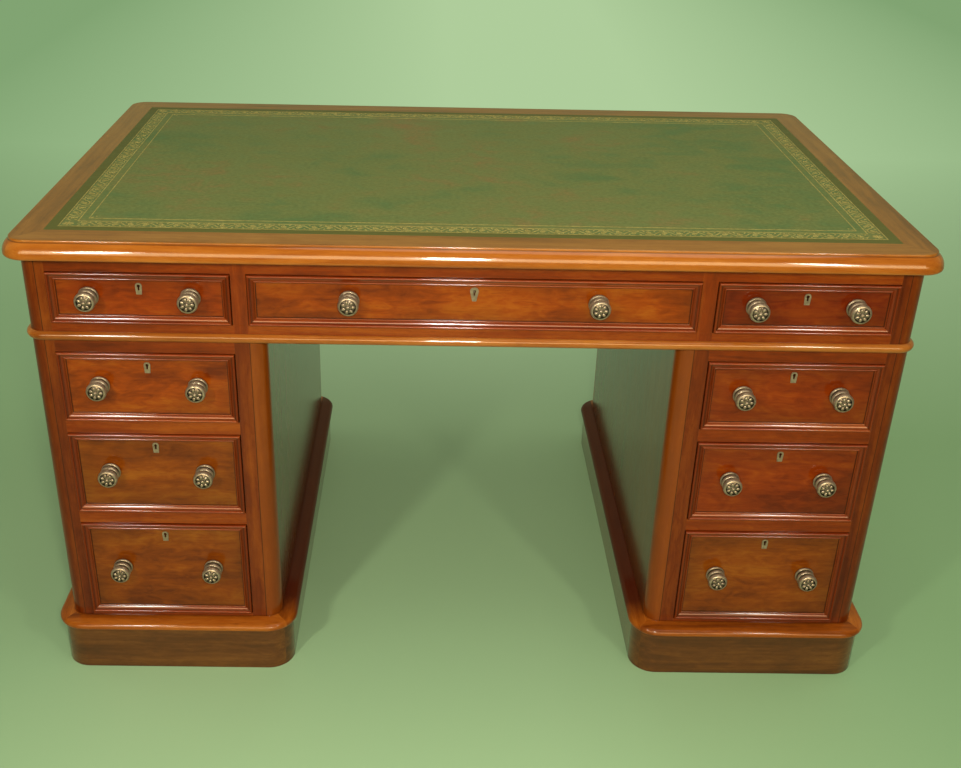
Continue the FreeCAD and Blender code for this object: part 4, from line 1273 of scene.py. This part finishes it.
@dataclass
class GiltTooling:
    """The tooled border: a band of scrolls between fine lines, and a plain line inside it."""

    band_start: float = 17.0 * MM
    band_end: float = 40.0 * MM
    inner_line: float = 53.0 * MM
    line_width: float = 1.5 * MM
    foil: float = 0.12 * MM
    # A scroll's stem, in two waves, and the curl that it ends in; turns are in degrees.
    scroll_length: float = 46.0 * MM
    stem_width: float = 1.8 * MM
    stem_turn: float = 60.0
    curl_radius: float = 4.2 * MM
    curl_drop: float = 2.0 * MM
    curl_start: float = 20.0
    curl_turn: float = 250.0
    arc_step: float = 16.0
    least_steps: int = 4
    # Leaves: a rosette in the curl, three on the stem's crest and two at its foot.
    leaf_segments: int = 8
    rosette: TooledFlower = TooledFlower(5, 1.7 * MM, (1.2 * MM, 0.8 * MM), turn=18.0)
    crest_leaf: Pair = (2.1 * MM, 1.0 * MM)
    crest_step: float = 6.4 * MM
    crest_lean: float = 34.0
    crest_gap: float = 2.4 * MM
    crest_fall: float = 0.32
    foot_leaf: Pair = (2.9 * MM, 1.2 * MM)
    foot_step: float = 8.2 * MM
    foot_drop: float = 6.8 * MM
    foot_lean: float = 60.0
    # Corners: a flower in the band, and a sprig inside the inner line given by reach and leaf length.
    corner_room: float = 4 * MM
    corner_flower: TooledFlower = TooledFlower(8, 5.4 * MM, (3.4 * MM, 1.5 * MM))
    corner_heart: Pair = (1.8 * MM, 1.8 * MM)
    sprig: Tuple[Pair, ...] = ((4.0 * MM, 3.0 * MM), (9.0 * MM, 1.8 * MM))
    sprig_width: float = 1.2 * MM
    sprig_turn: float = 45.0

    def _arc(self, shape: Shape, centre: Pair, radius: float, start: float, sweep: float) -> None:
        """Adds a curved strip: a short edge spun about a centre.

        Args:
            shape: the bmesh to add it to.
            centre: the arc's centre.
            radius: its middle radius.
            start: the angle it starts at, in degrees.
            sweep: the angle it turns through, in degrees.
        """
        half = self.stem_width / 2
        way = Vector((math.cos(math.radians(start)), math.sin(math.radians(start)), 0.0))
        middle = Vector((*centre, 0.0))
        ends = [shape.verts.new(middle + way * (radius + offset)) for offset in (-half, half)]
        bmesh.ops.spin(
            shape,
            geom=ends + [shape.edges.new(ends)],
            cent=middle,
            axis=(0, 0, 1),
            angle=math.radians(sweep),
            steps=max(self.least_steps, round(abs(sweep) / self.arc_step)),
        )

    def _leaf(self, shape: Shape, spot: Pair, turn: float, size: Pair) -> None:
        """Adds a flat leaf: a circle drawn out along its turn, in degrees."""
        placed = Matrix.Translation((*spot, 0.0)) @ Matrix.Rotation(math.radians(turn), 4, "Z")
        drawn = placed @ Matrix.Diagonal((*size, 1.0, 1.0))
        bmesh.ops.create_circle(shape, cap_ends=True, segments=self.leaf_segments, radius=1.0, matrix=drawn)

    def _flower(self, shape: Shape, centre: Pair, flower: TooledFlower) -> None:
        """Adds a ring of leaves.

        Args:
            shape: the bmesh to add it to.
            centre: the flower's centre.
            flower: its leaves.
        """
        for number in range(flower.leaves):
            turn = 360 / flower.leaves * number + flower.turn
            spot = (
                centre[0] + flower.ring * math.cos(math.radians(turn)),
                centre[1] + flower.ring * math.sin(math.radians(turn)),
            )
            self._leaf(shape, spot, turn, flower.leaf)

    def _scroll(self) -> Shape:
        """Returns one length of the band, from X = 0, centred on Y = 0."""
        shape = bmesh.new()
        half = self.scroll_length / 2
        radius = half / (2 * math.sin(math.radians(self.stem_turn)))
        drop = radius * math.cos(math.radians(self.stem_turn))
        for start, way in ((0.0, 1), (half, -1)):
            middle = start + half / 2
            stem_start = way * (90 + self.stem_turn)
            self._arc(shape, (middle, -way * drop), radius, stem_start, -way * 2 * self.stem_turn)
            curl = (middle, -way * self.curl_drop)
            self._arc(shape, curl, self.curl_radius, way * self.curl_start, way * self.curl_turn)
            self._flower(shape, curl, self.rosette)
            for place in (-1, 0, 1):
                along = place * self.crest_step
                rise = radius - drop + self.crest_gap - abs(along) * self.crest_fall
                turn = 90 - way * place * self.crest_lean
                self._leaf(shape, (middle + along, way * rise), turn, self.crest_leaf)
            for place in (-1, 1):
                spot = (middle + place * self.foot_step, -way * self.foot_drop)
                self._leaf(shape, spot, -way * place * self.foot_lean, self.foot_leaf)
        return shape

    def _strip(self, shape: Shape, length: float, inset: float) -> None:
        """Adds a fine straight line of one side, mitred at its two ends."""
        half = self.line_width / 2
        corners = [
            (inset - half, inset - half),
            (length - inset + half, inset - half),
            (length - inset - half, inset + half),
            (inset + half, inset + half),
        ]
        shape.faces.new([shape.verts.new((x, y, 0.0)) for x, y in corners])

    def _side(self, length: float) -> Shape:
        """Makes one side of the border with the corner at its start.

        Args:
            length: the side's length, along X from 0.

        Returns:
            The side's flat shape.
        """
        shape = bmesh.new()
        for inset in (self.band_start, self.band_end, self.inner_line):
            self._strip(shape, length, inset)
        middle = (self.band_start + self.band_end) / 2
        run = length - 2 * self.band_end - self.corner_room
        count = round(run / self.scroll_length)
        stretch = run / (count * self.scroll_length)
        for step in range(count):
            start = (length - run) / 2 + step * self.scroll_length * stretch
            scroll = self._scroll()
            bmesh.ops.scale(scroll, vec=(stretch, 1, 1), verts=scroll.verts)
            bmesh.ops.translate(scroll, vec=(start, middle, 0), verts=scroll.verts)
            pour(scroll, shape)
        self._flower(shape, (middle, middle), self.corner_flower)
        self._leaf(shape, (middle, middle), 0, self.corner_heart)
        for reach, leaf_length in self.sprig:
            spot = self.inner_line + reach
            self._leaf(shape, (spot, spot), self.sprig_turn, (leaf_length, self.sprig_width))
        return shape

    def build(self, material: Material) -> bpy.types.Object:
        """Builds the whole border as thin foil on the leather.

        Args:
            material: the gilt's material.

        Returns:
            The piece, riding on the desk.
        """
        low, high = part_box("leather_skiver")
        border = bmesh.new()
        width, depth = high.x - low.x, high.y - low.y
        centre = Vector(((low.x + high.x) / 2, (low.y + high.y) / 2, high.z))
        for number, (length, across) in enumerate(((width, depth), (depth, width)) * 2):
            side = self._side(length)
            side.transform(Matrix.Translation((-length / 2, -across / 2, 0)))
            side.transform(Matrix.Translation(centre) @ Matrix.Rotation(number * math.pi / 2, 4, "Z"))
            pour(side, border)
        raised = bmesh.ops.extrude_face_region(border, geom=border.faces[:], use_keep_orig=True)["geom"]
        top = [part for part in raised if isinstance(part, bmesh.types.BMVert)]
        bmesh.ops.translate(border, vec=(0, 0, self.foil), verts=top)
        bmesh.ops.recalc_face_normals(border, faces=border.faces)
        piece = finished("gilt_tooling", border, smooth=False)
        piece.data.materials.append(material)
        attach(piece, DESK_BODY)
        return piece


@dataclass
class WritingTop:
    """The moulded top board with its leather and gilt border."""

    finish: TopBoardFinish = TopBoardFinish()
    leather: LeatherFinish = LeatherFinish()
    tooling: GiltTooling = field(default_factory=GiltTooling)

    def build(self) -> None:
        """Dresses the board and the leather, and builds the border."""
        lay = Lay(ring=Ring.around("top_board"))
        dress("top_board", self.finish.material("top_board", lay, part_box("top_board")[1].z))
        dress("leather_skiver", self.leather.material("leather_skiver"))
        piece = self.tooling.build(DULL_GILT.material("gilt_tooling"))
        LOG.info("gilt_tooling: %d faces", len(piece.data.polygons))


@dataclass
class Carcase:
    """The frieze unit, the two pedestals and their plinths."""

    divider_span: Pair = (333.5 * MM, 357.5 * MM)
    corner_radius: float = 24.0 * MM
    kneehole_shade_lead: float = 30 * MM

    def _kneehole_shade(self) -> KneeholeShade:
        """Returns the kneehole's painted shade, between the pedestals' inner sides."""
        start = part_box("pedestal_sides")[0].y - self.kneehole_shade_lead
        return KneeholeShade(from_middle("pedestal_sides")[0], start)

    def _joint(self) -> CornerJoint:
        """Returns where the posts' rounded corners begin."""
        inner, outer = from_middle("corner_posts")
        return CornerJoint(inner + self.corner_radius, outer - self.corner_radius)

    def build(self) -> None:
        """Dresses every node of the carcase."""
        moulding_ring = Ring.around("plinth_mouldings", paired=True)
        lays = {
            "corner_posts": (POST_MAHOGANY, Lay(Run.UPRIGHT, joint=self._joint())),
            "frieze_ends": (CARCASE_MAHOGANY, Lay(Run.CROSSWISE)),
            "frieze_back": (CARCASE_MAHOGANY, Lay()),
            "frieze_rails": (CARCASE_MAHOGANY, Lay(upright_span=self.divider_span)),
            "frieze_bead": (BEAD_MAHOGANY, Lay(ring=Ring.around("frieze_bead"))),
            "pedestal_backs": (CARCASE_MAHOGANY, Lay(Run.UPRIGHT)),
            "pedestal_rails": (CARCASE_MAHOGANY, Lay()),
            "carcase_boards": (PINE, Lay()),
            "drawer_runners": (PINE, Lay(Run.CROSSWISE)),
            "plinth_boards": (PLINTH_MAHOGANY, Lay(ring=Ring.around("plinth_boards", paired=True))),
            "plinth_mouldings": (PLINTH_MOULDING_MAHOGANY, Lay(ring=moulding_ring, kneehole_shade=self._kneehole_shade())),
            "locating_blocks": (PINE, Lay()),
        }
        for node, (finish, lay) in lays.items():
            dress(node, finish.material(node, lay))
            LOG.info("%s dressed", node)
        divide = sum(from_middle("pedestal_sides")) / 2
        sides = SideBoardFinish().material("pedestal_sides", Lay(Run.UPRIGHT), divide)
        dress("pedestal_sides", sides)
        LOG.info("pedestal_sides dressed")


# Stage


@dataclass
class SoftBox:
    """One studio lamp."""

    name: str
    spot: Triple
    aim: Triple
    size: Pair
    power: float
    fill: bool = False
    colour: Triple = (1.0, 0.97, 0.84)

    def build(self) -> None:
        """Adds the lamp, turned towards its aim. A fill lights the object but isn't seen or mirrored."""
        lamp = bpy.data.lights.new(self.name, "AREA")
        lamp.shape = "RECTANGLE"
        lamp.size, lamp.size_y = self.size
        lamp.energy = self.power
        lamp.color = self.colour
        made = bpy.data.objects.new(self.name, lamp)
        made.visible_camera = not self.fill
        made.visible_glossy = not self.fill
        made.location = self.spot
        made.rotation_euler = (Vector(self.aim) - Vector(self.spot)).to_track_quat("-Z", "Y").to_euler()
        bpy.context.scene.collection.objects.link(made)


@dataclass
class Studio:
    """Floor, light and camera."""

    floor_half: float = 14.0
    floor_colour: Colour = tone(0.36, 0.54, 0.28)
    floor_cloud: Noise = Noise((0.8, 0.8, 0.8))
    floor_dim: float = 0.93
    floor_roughness: float = 0.7
    # Painted shade: the floor darkens towards its sides, away from floor_centre.
    floor_edge_shade: Colour = tone(0.25, 0.42, 0.19)
    floor_centre: float = -0.2
    floor_width: Pair = (0.35, 1.1)
    backdrop: Colour = tone(0.43, 0.61, 0.33)
    # Painted shade: the backdrop dims towards its sides, away from backdrop_centre.
    backdrop_edge_shade: Colour = tone(0.22, 0.37, 0.17)
    backdrop_span: Pair = (0.4, 2.8)
    backdrop_centre: float = 0.5
    backdrop_width: Pair = (0.5, 2.8)
    surround: Colour = tone(0.20, 0.30, 0.15)
    surround_start: Pair = (-0.2, 0.4)
    room: Colour = tone(0.03, 0.035, 0.025)
    window: Colour = tone(6.6, 5.5, 2.9)
    window_foot: Pair = (0.14, 0.24)
    window_head: Pair = (0.56, 0.47)
    window_side: Pair = (-0.74, -0.84)
    air: Colour = tone(0.95, 1.0, 0.93)
    air_light: float = 0.22
    camera_spot: Triple = (-63.66 * MM, -1976.72 * MM, 1355.73 * MM)
    pitch: float = 0.4758
    yaw: float = 0.01471
    roll: float = 0.02182
    focal_pixels: float = 1165.62
    image_width: float = 961.0
    centre_shift: Pair = (-35.64, 2.38)
    sensor: float = 36.0
    lamps: Tuple[SoftBox, ...] = (
        SoftBox("left_lamp", (-1.06, -2.0, 1.6), (-0.2, -0.3, 0.45), (0.14, 0.42), 14.5),
        SoftBox("centre_lamp", (0.01, -2.05, 1.5), (0.0, -0.3, 0.5), (0.16, 0.45), 23.0),
        SoftBox("right_lamp", (1.11, -2.0, 1.6), (0.2, -0.3, 0.45), (0.12, 0.40), 7.5),
        SoftBox("overhead", (0.6, -0.2, 3.2), (0.1, 0.0, 0.0), (2.4, 1.8), 25.0),
        SoftBox("left_fill", (-3.0, 0.6, 1.1), (-0.7, 0.1, 0.4), (1.4, 1.2), 8.0, fill=True),
        SoftBox("right_fill", (3.0, 0.6, 1.1), (0.7, 0.1, 0.4), (1.4, 1.2), 8.0, fill=True),
        SoftBox("back_fill", (0.0, 3.2, 1.2), (0.0, 0.4, 0.4), (1.8, 1.2), 15.0, fill=True),
    )

    def _seen(self, graph: Graph) -> Socket:
        """Returns 1 for rays that come from the camera or from a reflection."""
        ray = graph.node("ShaderNodeLightPath").outputs
        return graph.math("MAXIMUM", ray["Is Camera Ray"], ray["Is Glossy Ray"])

    def _floor(self) -> None:
        """Lays the floor, which is a pale backdrop further back."""
        shape = bmesh.new()
        bmesh.ops.create_grid(shape, x_segments=1, y_segments=1, size=self.floor_half)
        floor = finished("floor", shape, smooth=False)
        made, graph = new_material("floor")
        place = graph.place()
        parts = graph.split(place)
        dim = tone(*(self.floor_dim * part for part in self.floor_colour[:3]))
        cloudy = graph.mix(graph.noise(place, self.floor_cloud), dim, self.floor_colour)
        # Painted shade: a darker floor towards the sides.
        outer = graph.spread(graph.away(parts["X"], self.floor_centre), *self.floor_width)
        colour = graph.mix(outer, cloudy, self.floor_edge_shade)
        inputs = {"Base Color": colour, "Roughness": self.floor_roughness}
        lit = graph.node("ShaderNodeBsdfPrincipled", inputs)
        # Painted shade: a dimmer backdrop towards the sides.
        aside = graph.spread(graph.away(parts["X"], self.backdrop_centre), *self.backdrop_width)
        pale = graph.mix(aside, self.backdrop, self.backdrop_edge_shade)
        glow = graph.node("ShaderNodeEmission", {"Color": pale})
        far = graph.math("MULTIPLY", graph.spread(parts["Y"], *self.backdrop_span), self._seen(graph))
        both = graph.node("ShaderNodeMixShader", {0: far, 1: lit.outputs[0], 2: glow.outputs[0]})
        graph.node("ShaderNodeOutputMaterial", {"Surface": both.outputs[0]})
        floor.data.materials.append(made)

    def _sky(self) -> None:
        """Makes the air's light, a green surround for the eye, and a dark room that the front mirrors."""
        world = bpy.data.worlds.new("surround")
        bpy.context.scene.world = world
        world.use_nodes = True
        world.node_tree.nodes.clear()
        graph = Graph(world.node_tree)
        ray = graph.node("ShaderNodeLightPath").outputs
        way = graph.split(graph.node("ShaderNodeTexCoord").outputs["Generated"])
        behind = graph.math("MAXIMUM", graph.spread(way["Y"], *self.surround_start), ray["Is Camera Ray"])
        bright = graph.spread(way["Z"], *self.window_foot)
        head, side = graph.spread(way["Z"], *self.window_head), graph.spread(way["Y"], *self.window_side)
        for limit in (head, side, ray["Is Glossy Ray"]):
            bright = graph.math("MULTIPLY", bright, limit)
        seen = self._seen(graph)
        around = graph.mix(bright, graph.mix(behind, self.room, self.surround), self.window)
        colour = graph.mix(seen, self.air, around)
        strength = graph.between(seen, self.air_light, 1.0)
        shade = graph.node("ShaderNodeBackground", {"Color": colour, "Strength": strength})
        graph.node("ShaderNodeOutputWorld", {"Surface": shade.outputs[0]})

    def _camera(self) -> None:
        """Stands the camera where the photograph was taken from."""
        data = bpy.data.cameras.new("camera")
        data.sensor_fit = "HORIZONTAL"
        data.sensor_width = self.sensor
        data.lens = self.focal_pixels * self.sensor / self.image_width
        data.shift_x = -self.centre_shift[0] / self.image_width
        data.shift_y = self.centre_shift[1] / self.image_width
        made = bpy.data.objects.new("camera", data)
        made.matrix_world = (
            Matrix.Translation(self.camera_spot)
            @ Matrix.Rotation(-self.yaw, 4, "Z")
            @ Matrix.Rotation(math.pi / 2 - self.pitch, 4, "X")
            @ Matrix.Rotation(self.roll, 4, "Z")
        )
        bpy.context.scene.collection.objects.link(made)
        bpy.context.scene.camera = made

    def build(self) -> None:
        """Sets the whole stage."""
        bpy.context.scene.view_settings.view_transform = "Standard"
        self._floor()
        self._sky()
        self._camera()
        for lamp in self.lamps:
            lamp.build()


def drawer_names() -> List[str]:
    """Returns the drawers' names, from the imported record's bodies."""
    ending = "_drawer"
    return [body[: -len(ending)] for body in frame["bodies"] if body.endswith(ending)]


def main() -> None:
    """Builds every sub-assembly in order."""
    logging.basicConfig(level=logging.INFO, format="%(name)s: %(message)s")
    WritingTop().build()
    Carcase().build()
    brass = AGED_BRASS.material("aged_brass", CastKnobs(drawer_names()[0]).grooves())
    pale_brass = PALE_BRASS.material("lock_brass")
    for number, name in enumerate(drawer_names()):
        Drawer(name, number, VENEERS.get(name, GOLDEN_PANEL)).build(brass, pale_brass)
    Studio().build()


if __name__ == "__main__":
    main()
